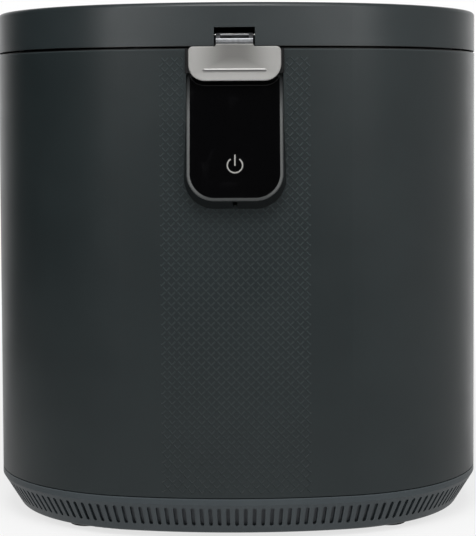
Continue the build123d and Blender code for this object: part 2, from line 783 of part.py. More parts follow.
def make_body_shell():
    shell = band(0, WALL, BODY_BOTTOM, BODY_TOP)
    ledge_bottom = DECK_BOTTOM - DECK_LEDGE_HEIGHT
    shell += band(WALL - LAP, WALL + DECK_LEDGE, ledge_bottom, DECK_BOTTOM)
    recess = RECESS_WIDTH / 2
    shell -= block(-recess, recess, SHELL_FRONT - OVERCUT, RECESS_BACK + RECESS_WALL + FIT,
                   RECESS_FLOOR_Z - RECESS_WALL - FIT, BODY_TOP + OVERCUT)
    shell -= panel_solid(-FIT, PANEL_CLEARANCE, -PANEL_DEPTH - PANEL_CLEARANCE, 0.0)
    shell -= drawer_block(DRAWER_GAP, 0, SHELL_BACK + OVERCUT)
    shell -= inlet_block(FIT, 0, SHELL_BACK + OVERCUT)
    for x, y in deck_screw_places():
        shell -= screw_hole(x, y, DECK_TOP, False)
    pocket = pocket_block(1, FIT, DECK_BOTTOM - POCKET_DEPTH)
    duct = cylinder(DUCT_RADIUS + FIT, ledge_bottom - OVERCUT, DECK_BOTTOM + OVERCUT, FAN_X, FAN_Y)
    return shell - [pocket, mirror(pocket, Plane.YZ), duct]


def deck_screw_places():
    places = []
    for place, _ in outline_places(WALL + DECK_LEDGE / 2, DECK_SCREW_COUNT, 0.5):
        places.append((place.X, place.Y))
    return places


def pocket_block(side, gap, bottom):
    """The finger pocket beside the bucket, on the right where side is 1."""
    left = BUCKET_FLANGE_RADIUS + POCKET_START_GAP - gap
    right = BUCKET_FLANGE_RADIUS + GRIP_REACH + POCKET_END_GAP + POCKET_WALL + gap
    half = GRIP_HALF_WIDTH + POCKET_MARGIN + POCKET_WALL + gap
    ends = sorted((side * left, side * right))
    form = block(ends[0], ends[1], AXIS_Y - half, AXIS_Y + half, bottom, DECK_TOP)
    return fillet(form.edges().filter_by(Axis.Z), POCKET_CORNER)


def make_top_deck():
    bottom, top = DECK_BOTTOM - OVERCUT, DECK_TOP + OVERCUT
    deck = prism(WALL + FIT, DECK_BOTTOM, DECK_TOP)
    deck -= cylinder(WELL_RADIUS, bottom, top, 0, AXIS_Y)
    deck -= cylinder(PORT_RADIUS, bottom, top, FAN_X, FAN_Y)
    recess = RECESS_WIDTH / 2 + FIT
    recess_back = RECESS_BACK + RECESS_WALL + FIT
    deck -= block(-recess, recess, SHELL_FRONT, recess_back, bottom, top)
    for x, y in deck_screw_places():
        deck -= screw_hole(x, y, DECK_TOP, False)
    floor = DECK_TOP - POCKET_DEPTH
    for side in (-1, 1):
        deck += pocket_block(side, 0.0, floor - POCKET_WALL)
        deck -= pocket_block(side, -POCKET_WALL, floor)
    return deck


def make_heater_well():
    well = cylinder(WELL_RADIUS + WELL_WALL, WELL_BOTTOM, DECK_BOTTOM, 0, AXIS_Y)
    flange = WELL_RADIUS + WELL_WALL + WELL_FLANGE
    well += cylinder(flange, DECK_BOTTOM - WELL_WALL, DECK_BOTTOM, 0, AXIS_Y)
    well -= cylinder(WELL_RADIUS, WELL_FLOOR_TOP, DECK_BOTTOM + OVERCUT, 0, AXIS_Y)
    return well - drive_opening()


def drive_opening():
    """The round opening through the heater and the floor of the well, for the drive."""
    return cylinder(DRIVE_OPENING_RADIUS, CHASSIS_TOP, WELL_FLOOR_TOP + OVERCUT, 0, AXIS_Y)


def heater_terminal_places():
    places = []
    for angle in TERMINAL_ANGLES:
        x, y = polar(HEATER_RING_RADIUS, angle)
        places.append((x, y + AXIS_Y))
    return places


def make_heater_plate():
    plate = cylinder(HEATER_RADIUS, HEATER_BOTTOM, WELL_BOTTOM, 0, AXIS_Y)
    for angle in around(3, 30.0):
        x, y = polar(HEATER_RADIUS - HEATER_LEG_INSET, angle)
        plate += cylinder(HEATER_LEG_RADIUS, CHASSIS_TOP, HEATER_BOTTOM + LAP, x, y + AXIS_Y)
    groove = HEATER_TUBE_RADIUS + HEATER_TUBE_FIT
    plate -= tube(HEATER_RING_RADIUS + groove, HEATER_RING_RADIUS - groove,
                  HEATER_BOTTOM - OVERCUT, HEATER_BOTTOM + HEATER_GROOVE_DEPTH, 0, AXIS_Y)
    return plate - drive_opening()


def make_heater_element():
    """A tube bent to an open ring, with a terminal down from each end."""
    level = HEATER_BOTTOM + HEATER_GROOVE_DEPTH - HEATER_TUBE_RADIUS - RUNNING_FIT
    section = Plane.XZ * Pos(HEATER_RING_RADIUS, 0) * Circle(HEATER_TUBE_RADIUS)
    first, last = TERMINAL_ANGLES
    ring = revolve(section, Axis.Z, 360 - (last - first))
    ring = Pos(0, AXIS_Y, level) * Rot(0, 0, last) * ring
    for x, y in heater_terminal_places():
        ring += cylinder(TERMINAL_RADIUS, GEARBOX_TOP - TERMINAL_DROP, level, x, y)
    return ring


def make_temperature_probe():
    """A button inside the heater's ring, held by a clip."""
    x, y = polar(HEATER_RING_RADIUS - PROBE_INSET, PROBE_ANGLE)
    y += AXIS_Y
    button = cylinder(PROBE_RADIUS, HEATER_BOTTOM - PROBE_HEIGHT, HEATER_BOTTOM, x, y)
    return button + block(x - PROBE_CLIP_REACH, x + PROBE_CLIP_REACH, y - PROBE_CLIP_HALF_WIDTH,
                          y + PROBE_CLIP_HALF_WIDTH, HEATER_BOTTOM - PROBE_CLIP_THICKNESS,
                          HEATER_BOTTOM)


def make_insulation_jacket():
    inner = WELL_RADIUS + WELL_WALL + FIT
    top = DECK_BOTTOM - WELL_WALL - FIT
    return tube(inner + JACKET_THICKNESS, inner, WELL_BOTTOM + JACKET_LIFT, top, 0, AXIS_Y)


def make_shaft_seal():
    bottom, top = HEATER_BOTTOM + SEAL_LIFT, WELL_FLOOR_TOP - SEAL_DROP
    return tube(DRIVE_OPENING_RADIUS, OUTPUT_SHAFT_RADIUS + FIT, bottom, top, 0, AXIS_Y)


# ---- Gears ----

def gear_points(teeth, module, phase):
    """The outline of a spur gear. Each flank is an involute, cut back for backlash."""
    pitch = teeth * module / 2
    base = pitch * math.cos(math.radians(PRESSURE_ANGLE))
    tip = pitch + module
    root = pitch - 1.25 * module
    start = max(base, root)
    involute_at_pitch = math.tan(math.radians(PRESSURE_ANGLE)) - math.radians(PRESSURE_ANGLE)
    half_tooth = math.pi / (2 * teeth) - BACKLASH / (2 * pitch) + involute_at_pitch
    flank = []
    for i in range(4):
        radius = start + (tip - start) * i / 3
        roll = math.acos(min(1.0, base / radius))
        flank.append((radius, half_tooth - (math.tan(roll) - roll)))
    if start > root:
        flank.insert(0, (root, flank[0][1]))
    points = []
    for tooth in range(teeth):
        centre = 2 * math.pi * tooth / teeth + math.radians(phase)
        for radius, half in flank:
            points.append((radius * math.cos(centre - half), radius * math.sin(centre - half)))
        for radius, half in reversed(flank):
            points.append((radius * math.cos(centre + half), radius * math.sin(centre + half)))
    return points


def gear(teeth, module, bottom, width, x, y, phase=0.0):
    face = make_face(Polyline(gear_points(teeth, module, phase), close=True))
    return Pos(x, y, bottom) * extrude(face, width, dir=(0, 0, 1))


def gearbox_form(bottom, top, inset=0.0):
    """Two circles joined by the lines that touch both, which follow the row of gears."""
    big = GEARBOX_BIG_RADIUS - inset
    small = GEARBOX_SMALL_RADIUS - inset
    span = -MOTOR_X
    lean = (big - small) / span
    rise = math.sqrt(1 - lean**2)
    points = [
        (-lean * big, rise * big),
        (-span - lean * small, rise * small),
        (-span - lean * small, -rise * small),
        (-lean * big, -rise * big),
    ]
    sides = make_face(Polyline(points, close=True))
    form = sides + Circle(big) + Pos(-span, 0) * Circle(small)
    return Pos(0, AXIS_Y, bottom) * extrude(form, top - bottom, dir=(0, 0, 1))


def gearbox_screw_places():
    places = []
    for centre_x, radius, angle in ((0.0, GEARBOX_BIG_RADIUS, GEARBOX_BOSS_ANGLE),
                                    (MOTOR_X, GEARBOX_SMALL_RADIUS, 100.0)):
        for side in (-1, 1):
            x, y = polar(radius + GEARBOX_BOSS_RADIUS / 2, side * angle)
            places.append((centre_x + x, AXIS_Y + y))
    return places


def gearbox_bosses(bottom, top):
    return [cylinder(GEARBOX_BOSS_RADIUS, bottom, top, x, y) for x, y in gearbox_screw_places()]


def make_gearbox_case():
    top = GEARBOX_TOP - GEARBOX_WALL
    case = gearbox_form(GEARBOX_BOTTOM, top) + gearbox_bosses(GEARBOX_BOTTOM, top)
    case -= gearbox_form(GEARBOX_FLOOR, top + OVERCUT, GEARBOX_WALL)
    bottom, bearing_top = GEARBOX_BOTTOM - OVERCUT, BEARING_TOP + OVERCUT
    for radius, x in ((OUTPUT_JOURNAL_RADIUS, 0), (IDLER_PIN_RADIUS, IDLER_X)):
        case += cylinder(radius + GEARBOX_BEARING_WALL, GEARBOX_BOTTOM, BEARING_TOP, x, AXIS_Y)
    case -= cylinder(OUTPUT_JOURNAL_RADIUS + RUNNING_FIT, bottom, bearing_top, 0, AXIS_Y)
    case += cylinder(IDLER_PIN_RADIUS, GEARBOX_FLOOR, top, IDLER_X, AXIS_Y)
    pinion_way = PINION_HUB_RADIUS + GEARBOX_WALL
    case -= cylinder(pinion_way, bottom, GEARBOX_FLOOR + OVERCUT, MOTOR_X, AXIS_Y)
    for x, y in gearbox_screw_places():
        case -= screw_hole(x, y, CHASSIS_TOP, False)
    return case


def make_gearbox_cover():
    bottom = GEARBOX_TOP - GEARBOX_WALL
    cover = gearbox_form(bottom, GEARBOX_TOP) + gearbox_bosses(bottom, GEARBOX_TOP)
    bore = OUTPUT_SHAFT_RADIUS + RUNNING_FIT
    cover -= cylinder(bore, bottom - OVERCUT, GEARBOX_TOP + OVERCUT, 0, AXIS_Y)
    for x, y in gearbox_screw_places():
        cover -= screw_hole(x, y, CHASSIS_TOP, False)
    return cover


def make_output_gear():
    """The large gear, turned thinner between its rim and its hub."""
    top = OUTPUT_GEAR_Z + OUTPUT_GEAR_WIDTH
    middle = (OUTPUT_GEAR_Z + top) / 2
    rim = OUTPUT_TEETH * OUTPUT_MODULE / 2 - OUTPUT_RIM
    wheel = gear(OUTPUT_TEETH, OUTPUT_MODULE, OUTPUT_GEAR_Z, OUTPUT_GEAR_WIDTH, 0, AXIS_Y)
    for side in (-1, 1):
        ends = sorted((middle + side * OUTPUT_WEB_THICKNESS / 2, middle + side * OUTPUT_GEAR_WIDTH))
        wheel -= tube(rim, OUTPUT_WEB_INNER, ends[0], ends[1], 0, AXIS_Y)
    wheel += cylinder(OUTPUT_HUB_RADIUS, OUTPUT_GEAR_Z, top + OUTPUT_HUB_RISE, 0, AXIS_Y)
    bore_bottom = OUTPUT_GEAR_Z - OVERCUT
    return wheel - cylinder(OUTPUT_SHAFT_RADIUS, bore_bottom, GEARBOX_TOP, 0, AXIS_Y)


def make_output_shaft():
    shoulder = BEARING_TOP + FIT
    shaft = cylinder(OUTPUT_JOURNAL_RADIUS, GEARBOX_BOTTOM + LAP, shoulder, 0, AXIS_Y)
    shaft += cylinder(OUTPUT_SHAFT_RADIUS, shoulder, HEX_BOTTOM, 0, AXIS_Y)
    return shaft + hexagon(DRIVE_HEX, HEX_BOTTOM, HEX_TOP)


def hexagon(across_flats, bottom, top):
    face = RegularPolygon(across_flats / 2, 6, major_radius=False)
    return Pos(0, AXIS_Y, bottom) * extrude(face, top - bottom, dir=(0, 0, 1))


def make_idler_gear():
    """The middle wheel: a small pinion on the large gear, and above it a wide gear for the motor."""
    pinion_phase = 180.0 / OUTPUT_PINION_TEETH
    top = INPUT_GEAR_Z + INPUT_GEAR_WIDTH + OVERCUT
    wheel = gear(OUTPUT_PINION_TEETH, OUTPUT_MODULE, OUTPUT_GEAR_Z, INPUT_GEAR_Z - OUTPUT_GEAR_Z,
                 IDLER_X, AXIS_Y, pinion_phase)
    wheel += gear(INPUT_TEETH, INPUT_MODULE, INPUT_GEAR_Z, INPUT_GEAR_WIDTH, IDLER_X, AXIS_Y)
    wheel += cylinder(IDLER_HUB_RADIUS, BEARING_TOP + FIT, OUTPUT_GEAR_Z, IDLER_X, AXIS_Y)
    return wheel - cylinder(IDLER_PIN_RADIUS + RUNNING_FIT, GEARBOX_BOTTOM, top, IDLER_X, AXIS_Y)


# ---- Motor ----

def make_motor_case():
    case = cylinder(MOTOR_RADIUS, MOTOR_BOTTOM, GEARBOX_BOTTOM, MOTOR_X, AXIS_Y)
    case -= cylinder(MOTOR_RADIUS - MOTOR_WALL, MOTOR_BOTTOM + MOTOR_WALL,
                     GEARBOX_BOTTOM - MOTOR_WALL, MOTOR_X, AXIS_Y)
    bore = MOTOR_SHAFT_RADIUS + RUNNING_FIT
    return case - cylinder(bore, MOTOR_BOTTOM, GEARBOX_BOTTOM + OVERCUT, MOTOR_X, AXIS_Y)


def make_motor_stator():
    """The iron ring with its winding, which stands out of both ends."""
    bottom, top = MOTOR_BOTTOM + ROTOR_CORE_END, GEARBOX_BOTTOM - ROTOR_CORE_END
    outer, inner = MOTOR_RADIUS - MOTOR_WALL, ROTOR_CORE_RADIUS + AIR_GAP
    core = tube(outer, inner, bottom, top, MOTOR_X, AXIS_Y)
    return core + tube(outer - WINDING_INSET, inner + AIR_GAP, bottom - WINDING_OVERHANG,
                       top + WINDING_OVERHANG, MOTOR_X, AXIS_Y)


def make_motor_rotor():
    shaft_top = INPUT_GEAR_Z + INPUT_GEAR_WIDTH + LAP
    shaft = cylinder(MOTOR_SHAFT_RADIUS, MOTOR_BOTTOM + LAP, shaft_top, MOTOR_X, AXIS_Y)
    bottom, top = MOTOR_BOTTOM + ROTOR_CORE_END, GEARBOX_BOTTOM - ROTOR_CORE_END
    return shaft + cylinder(ROTOR_CORE_RADIUS, bottom, top, MOTOR_X, AXIS_Y)


def make_motor_pinion():
    phase = 180.0 / INPUT_PINION_TEETH
    pinion = gear(INPUT_PINION_TEETH, INPUT_MODULE, INPUT_GEAR_Z - LAP,
                  INPUT_GEAR_WIDTH + 2 * LAP, MOTOR_X, AXIS_Y, phase)
    hub_bottom = GEARBOX_BOTTOM + 2 * OVERCUT
    pinion += cylinder(PINION_HUB_RADIUS, hub_bottom, INPUT_GEAR_Z, MOTOR_X, AXIS_Y)
    return pinion - cylinder(MOTOR_SHAFT_RADIUS, GEARBOX_BOTTOM, GEARBOX_TOP, MOTOR_X, AXIS_Y)


# ---- Bucket and grinder ----

def make_bucket_pot():
    """The cup with its flange, and a hump in the floor that the grinder's shaft comes through."""
    top = BUCKET_RIM_TOP + OVERCUT
    pot = cylinder(BUCKET_RADIUS, BUCKET_BOTTOM, BUCKET_RIM_TOP, 0, AXIS_Y)
    pot = fillet(pot.edges().group_by(Axis.Z)[0], BUCKET_CORNER_RADIUS)
    pot += cylinder(BUCKET_FLANGE_RADIUS, BUCKET_RIM_BOTTOM, BUCKET_RIM_TOP, 0, AXIS_Y)
    inside = cylinder(BUCKET_RADIUS - BUCKET_WALL, BUCKET_FLOOR_TOP, top, 0, AXIS_Y)
    pot -= fillet(inside.edges().group_by(Axis.Z)[0], BUCKET_CORNER_RADIUS)
    hump = cylinder(HUMP_RADIUS, BUCKET_FLOOR_TOP - LAP, HUMP_TOP, 0, AXIS_Y)
    pot += fillet(hump.edges().group_by(Axis.Z)[-1], HUMP_EDGE_RADIUS)
    hollow = HUMP_RADIUS - HUMP_WALL
    pot -= cylinder(hollow, BUCKET_BOTTOM - OVERCUT, HUMP_TOP - HUMP_WALL, 0, AXIS_Y)
    return pot - cylinder(BUSH_RADIUS, BUCKET_BOTTOM, HUMP_TOP + OVERCUT, 0, AXIS_Y)


def make_bucket_bush():
    top = HUMP_TOP + BUSH_RIM_HEIGHT
    bush = cylinder(BUSH_RADIUS, HUMP_TOP - HUMP_WALL - LAP, HUMP_TOP, 0, AXIS_Y)
    bush += cylinder(BUSH_RADIUS + BUSH_RIM, HUMP_TOP, top, 0, AXIS_Y)
    bore = ROTOR_SHAFT_RADIUS + RUNNING_FIT
    return bush - cylinder(bore, BUCKET_BOTTOM, top + OVERCUT, 0, AXIS_Y)


def make_bucket_grips():
    grips = []
    for side in (-1, 1):
        outer = BUCKET_FLANGE_RADIUS + GRIP_REACH
        ends = sorted((side * (BUCKET_RADIUS + OVERCUT), side * outer))
        grip = block(ends[0], ends[1], AXIS_Y - GRIP_HALF_WIDTH, AXIS_Y + GRIP_HALF_WIDTH,
                     BUCKET_RIM_BOTTOM, BUCKET_RIM_TOP + GRIP_HEIGHT)
        outer_edges = grip.edges().filter_by(Axis.Z).sort_by(Axis.X)
        outer_edges = outer_edges[-2:] if side > 0 else outer_edges[:2]
        grip = fillet(outer_edges, GRIP_CORNER)
        grip = chamfer(grip.edges().group_by(Axis.Z)[-1], GRIP_EDGE)
        rim_bottom = BUCKET_RIM_BOTTOM - OVERCUT
        grips.append(grip - cylinder(BUCKET_FLANGE_RADIUS, rim_bottom, BUCKET_RIM_TOP, 0, AXIS_Y))
    return grips


def make_fixed_blades():
    """The teeth on the bucket's wall, each on a curved foot, that the grinder's arms pass below."""
    bottom = HUB_BOTTOM + BLADE_LIFT
    top = bottom + BLADE_HEIGHT
    wall = BUCKET_RADIUS - BUCKET_WALL
    half, foot_half = BLADE_THICKNESS / 2, BLADE_FOOT_HALF_WIDTH
    foot_ring = tube(wall, wall - BLADE_FOOT_DEPTH, bottom - OVERCUT, top + 3 * OVERCUT)
    inside = cylinder(wall, bottom, top)
    blades = []
    for angle in around(BLADE_COUNT, 30.0):
        blade = block(wall - BLADE_REACH, BUCKET_RADIUS, -half, half, bottom, top) & inside
        foot = foot_ring & block(0, BUCKET_RADIUS, -foot_half, foot_half, 0, LID_TOP)
        blades.append(Pos(0, AXIS_Y, 0) * Rot(0, 0, angle) * (blade + foot))
    return blades


def grinder_arm(start, reach, bottom, root_size, tip_size, lean):
    """A plough-shaped arm, narrow along its top, whose top leans forward."""
    faces = []
    for distance, (half, height) in ((start, root_size), (reach, tip_size)):
        points = [(-half, 0), (half, 0), (half * 0.3 + lean, height), (-half * 0.2 + lean, height)]
        plane = Plane((distance, 0, bottom), x_dir=(0, 1, 0), z_dir=(1, 0, 0))
        faces.append(plane * make_face(Polyline(points, close=True)))
    return loft(faces, ruled=True)


def make_grinder_rotor():
    cone = Pos(0, 0, HUB_BOTTOM + HUB_HEIGHT / 2) * Cone(HUB_RADIUS, HUB_TOP_RADIUS, HUB_HEIGHT)
    rotor = fillet(cone.edges().group_by(Axis.Z)[-1], HUB_TOP_EDGE)
    for angle in around(ARM_COUNT, 15.0):
        arm = grinder_arm(HUB_TOP_RADIUS, ARM_REACH, HUB_BOTTOM, ARM_FOOT, ARM_TIP, ARM_LEAN)
        rotor += Rot(0, 0, angle) * arm
    upper_reach = ARM_REACH - UPPER_ARM_SHORTER
    for angle in around(UPPER_ARM_COUNT, 75.0):
        arm = grinder_arm(COUPLING_RADIUS - OUTPUT_SHAFT_RADIUS, upper_reach,
                          HUB_BOTTOM + UPPER_ARM_LIFT, UPPER_ARM_FOOT, UPPER_ARM_TIP, 0.0)
        rotor += Rot(0, 0, angle) * arm
    hollow_top = HUMP_TOP + BUSH_RIM_HEIGHT + OVERCUT
    rotor -= cylinder(HUMP_RADIUS + HUMP_CLEARANCE, HUB_BOTTOM - OVERCUT, hollow_top)
    rotor += cylinder(ROTOR_SHAFT_RADIUS, coupling_top(), HUB_BOTTOM + HUB_HEIGHT - HUB_CAP)
    return Pos(0, AXIS_Y, 0) * rotor


def coupling_top():
    return BUCKET_BOTTOM + COUPLING_LIFT + COUPLING_LENGTH


def make_rotor_coupling():
    bottom = BUCKET_BOTTOM + COUPLING_LIFT
    cup = cylinder(COUPLING_RADIUS, bottom, coupling_top(), 0, AXIS_Y)
    return cup - hexagon(DRIVE_HEX + 2 * DRIVE_HEX_FIT, bottom - OVERCUT, HEX_TOP + FIT)


# ---- Air path ----

def make_fan_housing():
    top = FAN_FLOOR_Z + FAN_HEIGHT
    housing = cylinder(FAN_RADIUS, FAN_FLOOR_Z, top, FAN_X, FAN_Y)
    outlet_end = DRAWER_WIDTH / 2 + FIT + BAY_WALL
    housing += block(outlet_end, FAN_X, FAN_OUTLET_FRONT, FAN_OUTLET_BACK, FAN_FLOOR_Z, top)
    floor = FAN_FLOOR_Z + FAN_WALL
    housing -= cylinder(FAN_RADIUS - FAN_WALL, floor, top + OVERCUT, FAN_X, FAN_Y)
    housing -= block(outlet_end - OVERCUT, FAN_X, FAN_OUTLET_FRONT + FAN_WALL,
                     FAN_OUTLET_BACK - FAN_WALL, floor, top - FAN_WALL)
    shaft_way = 2 * FAN_SHAFT_RADIUS
    housing -= cylinder(shaft_way, FAN_FLOOR_Z - OVERCUT, floor + OVERCUT, FAN_X, FAN_Y)
    for angle in FAN_LEG_ANGLES:
        x, y = polar(FAN_RADIUS - FAN_LEG_INSET, angle)
        housing += cylinder(FAN_LEG_RADIUS, PLATE_TOP, FAN_FLOOR_Z + LAP, FAN_X + x, FAN_Y + y)
    return housing


def make_fan_cover():
    bottom = FAN_FLOOR_Z + FAN_HEIGHT
    top = bottom + FAN_WALL
    cover = cylinder(FAN_RADIUS, bottom, top, FAN_X, FAN_Y)
    collar = DUCT_RADIUS - DUCT_WALL - FIT
    collar_top = top + FAN_COLLAR_HEIGHT
    cover += cylinder(collar, top, collar_top, FAN_X, FAN_Y)
    way = collar - FAN_COLLAR_WALL
    return cover - cylinder(way, bottom - OVERCUT, collar_top + OVERCUT, FAN_X, FAN_Y)


def make_fan_motor():
    bottom = FAN_FLOOR_Z - FAN_MOTOR_HEIGHT
    motor = cylinder(FAN_MOTOR_RADIUS, bottom, FAN_FLOOR_Z, FAN_X, FAN_Y)
    bore = FAN_SHAFT_RADIUS + RUNNING_FIT
    return motor - cylinder(bore, bottom + OVERCUT, FAN_FLOOR_Z + OVERCUT, FAN_X, FAN_Y)


def make_fan_impeller():
    """A squirrel-cage wheel: leaning blades between a disc and a ring, on the motor's shaft."""
    bottom = FAN_FLOOR_Z + FAN_WALL + IMPELLER_LIFT
    top = bottom + IMPELLER_HEIGHT
    shaft_bottom = FAN_FLOOR_Z - FAN_MOTOR_HEIGHT + OVERCUT
    wheel = cylinder(IMPELLER_RADIUS, bottom, bottom + IMPELLER_DISC)
    wheel += cylinder(IMPELLER_HUB_RADIUS, bottom, bottom + IMPELLER_HUB_HEIGHT)
    wheel += cylinder(FAN_SHAFT_RADIUS, shaft_bottom + FIT, bottom + LAP)
    place = Pos((IMPELLER_RADIUS + IMPELLER_BLADE_INNER) / 2, 0, (bottom + top) / 2)
    sheet = Box(IMPELLER_BLADE_LENGTH, IMPELLER_BLADE_THICKNESS, IMPELLER_HEIGHT)
    blade = place * Rot(0, 0, IMPELLER_BLADE_LEAN) * sheet
    wheel += [Rot(0, 0, angle) * blade for angle in around(IMPELLER_BLADES)]
    wheel += tube(IMPELLER_RADIUS, IMPELLER_RADIUS - IMPELLER_RIM, top - IMPELLER_DISC, top)
    wheel &= cylinder(IMPELLER_RADIUS, shaft_bottom, top)
    return Pos(FAN_X, FAN_Y, 0) * wheel


def make_intake_duct():
    bottom = FAN_FLOOR_Z + FAN_HEIGHT + FAN_WALL
    return tube(DUCT_RADIUS, DUCT_RADIUS - DUCT_WALL, bottom, DECK_BOTTOM, FAN_X, FAN_Y)


def make_intake_grille():
    """A slotted disc over the port, with a sleeve down into it."""
    sleeve = PORT_RADIUS - RUNNING_FIT
    open_radius = sleeve - GRILLE_PLATE
    top = DECK_TOP + GRILLE_PLATE
    grille = cylinder(PORT_RADIUS + GRILLE_EDGE, DECK_TOP, top, FAN_X, FAN_Y)
    grille += cylinder(sleeve, DECK_BOTTOM, DECK_TOP, FAN_X, FAN_Y)
    grille -= cylinder(open_radius, DECK_BOTTOM - OVERCUT, DECK_TOP, FAN_X, FAN_Y)
    slots = []
    for i in range(-GRILLE_SIDE_SLOTS, GRILLE_SIDE_SLOTS + 1):
        offset = i * GRILLE_PITCH
        half = math.sqrt((open_radius - GRILLE_RIM) ** 2 - offset**2)
        left = FAN_X + offset - GRILLE_SLOT_WIDTH / 2
        slots.append(block(left, left + GRILLE_SLOT_WIDTH, FAN_Y - half, FAN_Y + half,
                           DECK_TOP - OVERCUT, top + OVERCUT))
    return grille - slots


def make_filter_bay():
    """The sleeve that the drawer slides in, on two side walls that stand on the base plate."""
    half = DRAWER_WIDTH / 2 + FIT
    floor = DRAWER_BOTTOM - FIT
    roof = DRAWER_TOP + DRAWER_HEADROOM
    back = SHELL_BACK + OVERCUT
    outer = half + BAY_WALL
    bay = block(-outer, outer, BAY_FRONT_Y, SHELL_BACK, PLATE_TOP, roof + BAY_WALL)
    bay -= block(-half, half, BAY_FRONT_Y + BAY_WALL, back, floor, roof)
    bay -= block(-half, half, BAY_FRONT_Y - OVERCUT, back, PLATE_TOP - OVERCUT, floor - BAY_WALL)
    bay -= block(half - OVERCUT, outer + OVERCUT, FAN_OUTLET_FRONT + FAN_WALL,
                 FAN_OUTLET_BACK - FAN_WALL, FAN_FLOOR_Z + FAN_WALL,
                 FAN_FLOOR_Z + FAN_HEIGHT - FAN_WALL)
    low = bay & prism(BASE_TAPER + RING_FLANGE + BAY_RING_GAP, PLATE_TOP, floor - BAY_WALL)
    return low + (bay & prism(WALL + FIT, floor - BAY_WALL, roof + BAY_WALL))


def drawer_curve(outer_inset, inner_inset):
    ring = band(outer_inset, inner_inset, DRAWER_BOTTOM, DRAWER_TOP)
    return ring & drawer_block(0, 0, SHELL_BACK)


def make_drawer_front():
    """The outer skin of the drawer: it continues the body wall, with a grille and a finger cup."""
    front = drawer_curve(0, DRAWER_FRONT_THICKNESS)
    cup_top = DRAWER_TOP - PULL_DROP
    cup_bottom = cup_top - PULL_HEIGHT
    cup_floor = SHELL_BACK - PULL_DEPTH
    half = PULL_WIDTH / 2
    outer = block(-half - PULL_WALL, half + PULL_WALL, cup_floor - PULL_WALL,
                  SHELL_BACK - PULL_SINK, cup_bottom - PULL_WALL, cup_top + PULL_WALL)
    inner = block(-half, half, cup_floor, SHELL_BACK + OVERCUT, cup_bottom, cup_top)
    front += outer
    front -= fillet(inner.edges().filter_by(Axis.Y), PULL_CORNER)
    slot_bottom, slot_top = DRAWER_BOTTOM + DRAWER_SLOT_MARGIN, cup_bottom - DRAWER_SLOT_MARGIN
    sketch = SlotOverall(slot_top - slot_bottom, SLOT_WIDTH, rotation=90)
    slot = extrude(sketch, TRAY_SETBACK, both=True)
    cuts = []
    for i in range(DRAWER_SLOT_COUNT):
        x = (i - (DRAWER_SLOT_COUNT - 1) / 2) * SLOT_PITCH
        place = Plane((x, SHELL_BACK, (slot_bottom + slot_top) / 2), x_dir=(1, 0, 0),
                      z_dir=(0, -1, 0))
        cuts.append(place.location * slot)
    return front - cuts


def make_filter_tray():
    """An open frame round the carbon. Its floor and sides run on to the front of the drawer."""
    half = DRAWER_WIDTH / 2
    back = SHELL_BACK - TRAY_SETBACK
    floor_top, roof = DRAWER_BOTTOM + TRAY_WALL, DRAWER_TOP - TRAY_WALL
    tray = block(-half, half, DRAWER_INNER_Y, SHELL_BACK, DRAWER_BOTTOM, DRAWER_TOP)
    tray -= block(-half + TRAY_WALL, half - TRAY_WALL, DRAWER_INNER_Y - OVERCUT,
                  back + OVERCUT, floor_top, roof)
    tray -= block(-half + TRAY_WALL, half - TRAY_WALL, back, SHELL_BACK + OVERCUT,
                  floor_top, DRAWER_TOP + OVERCUT)
    shape = prism(DRAWER_FRONT_THICKNESS, DRAWER_BOTTOM, DRAWER_TOP)
    return tray & (shape & drawer_block(0, 0, SHELL_BACK))


def make_carbon_pack():
    half = DRAWER_WIDTH / 2 - TRAY_WALL - FIT
    back = SHELL_BACK - TRAY_SETBACK - MESH_THICKNESS
    return block(-half, half, DRAWER_INNER_Y + MESH_THICKNESS, back,
                 DRAWER_BOTTOM + TRAY_WALL, DRAWER_TOP - TRAY_WALL - FIT)


def make_filter_mesh():
    half = DRAWER_WIDTH / 2 - TRAY_WALL - FIT
    bottom, top = DRAWER_BOTTOM + TRAY_WALL, DRAWER_TOP - TRAY_WALL - FIT
    step_x = (2 * half - MESH_BORDER) / MESH_COLUMNS
    step_z = (top - bottom - MESH_BORDER) / MESH_ROWS
    edge = (MESH_BORDER + MESH_BAR) / 2
    sheets = []
    for front in (DRAWER_INNER_Y, SHELL_BACK - TRAY_SETBACK - MESH_THICKNESS):
        back = front + MESH_THICKNESS
        holes = []
        for i in range(MESH_COLUMNS):
            for j in range(MESH_ROWS):
                left, low = edge - half + step_x * i, edge + bottom + step_z * j
                holes.append(block(left, left + step_x - MESH_BAR, front - OVERCUT,
                                   back + OVERCUT, low, low + step_z - MESH_BAR))
        sheets.append(block(-half, half, front, back, bottom, top) - holes)
    return sheets


# ---- Electronics ----

def make_main_board():
    bottom = PLATE_TOP + BOARD_LIFT
    top = bottom + BOARD_THICKNESS
    board = block(BOARD_LEFT, BOARD_RIGHT, BOARD_FRONT, BOARD_BACK, bottom, top)
    for x in (BOARD_LEFT + BOARD_LEG_INSET, BOARD_RIGHT - BOARD_LEG_INSET):
        for y in (BOARD_FRONT + BOARD_LEG_INSET, BOARD_BACK - BOARD_LEG_INSET):
            board += cylinder(BOARD_LEG_RADIUS, PLATE_TOP, bottom, x, y)
    return board


def make_board_parts():
    """Transformer, smoothing capacitors, relays and heat sink on the main board."""
    top = PLATE_TOP + BOARD_LIFT + BOARD_THICKNESS
    parts = []
    for x, y, width, depth, height in BOARD_BLOCKS:
        left, front = BOARD_LEFT + x, BOARD_FRONT + y
        parts.append(block(left, left + width, front, front + depth, top, top + height))
    for x, y in CAPACITOR_PLACES:
        capacitor_top = top + CAPACITOR_HEIGHT
        parts.append(cylinder(CAPACITOR_RADIUS, top, capacitor_top, BOARD_LEFT + x, BOARD_FRONT + y))
    return parts


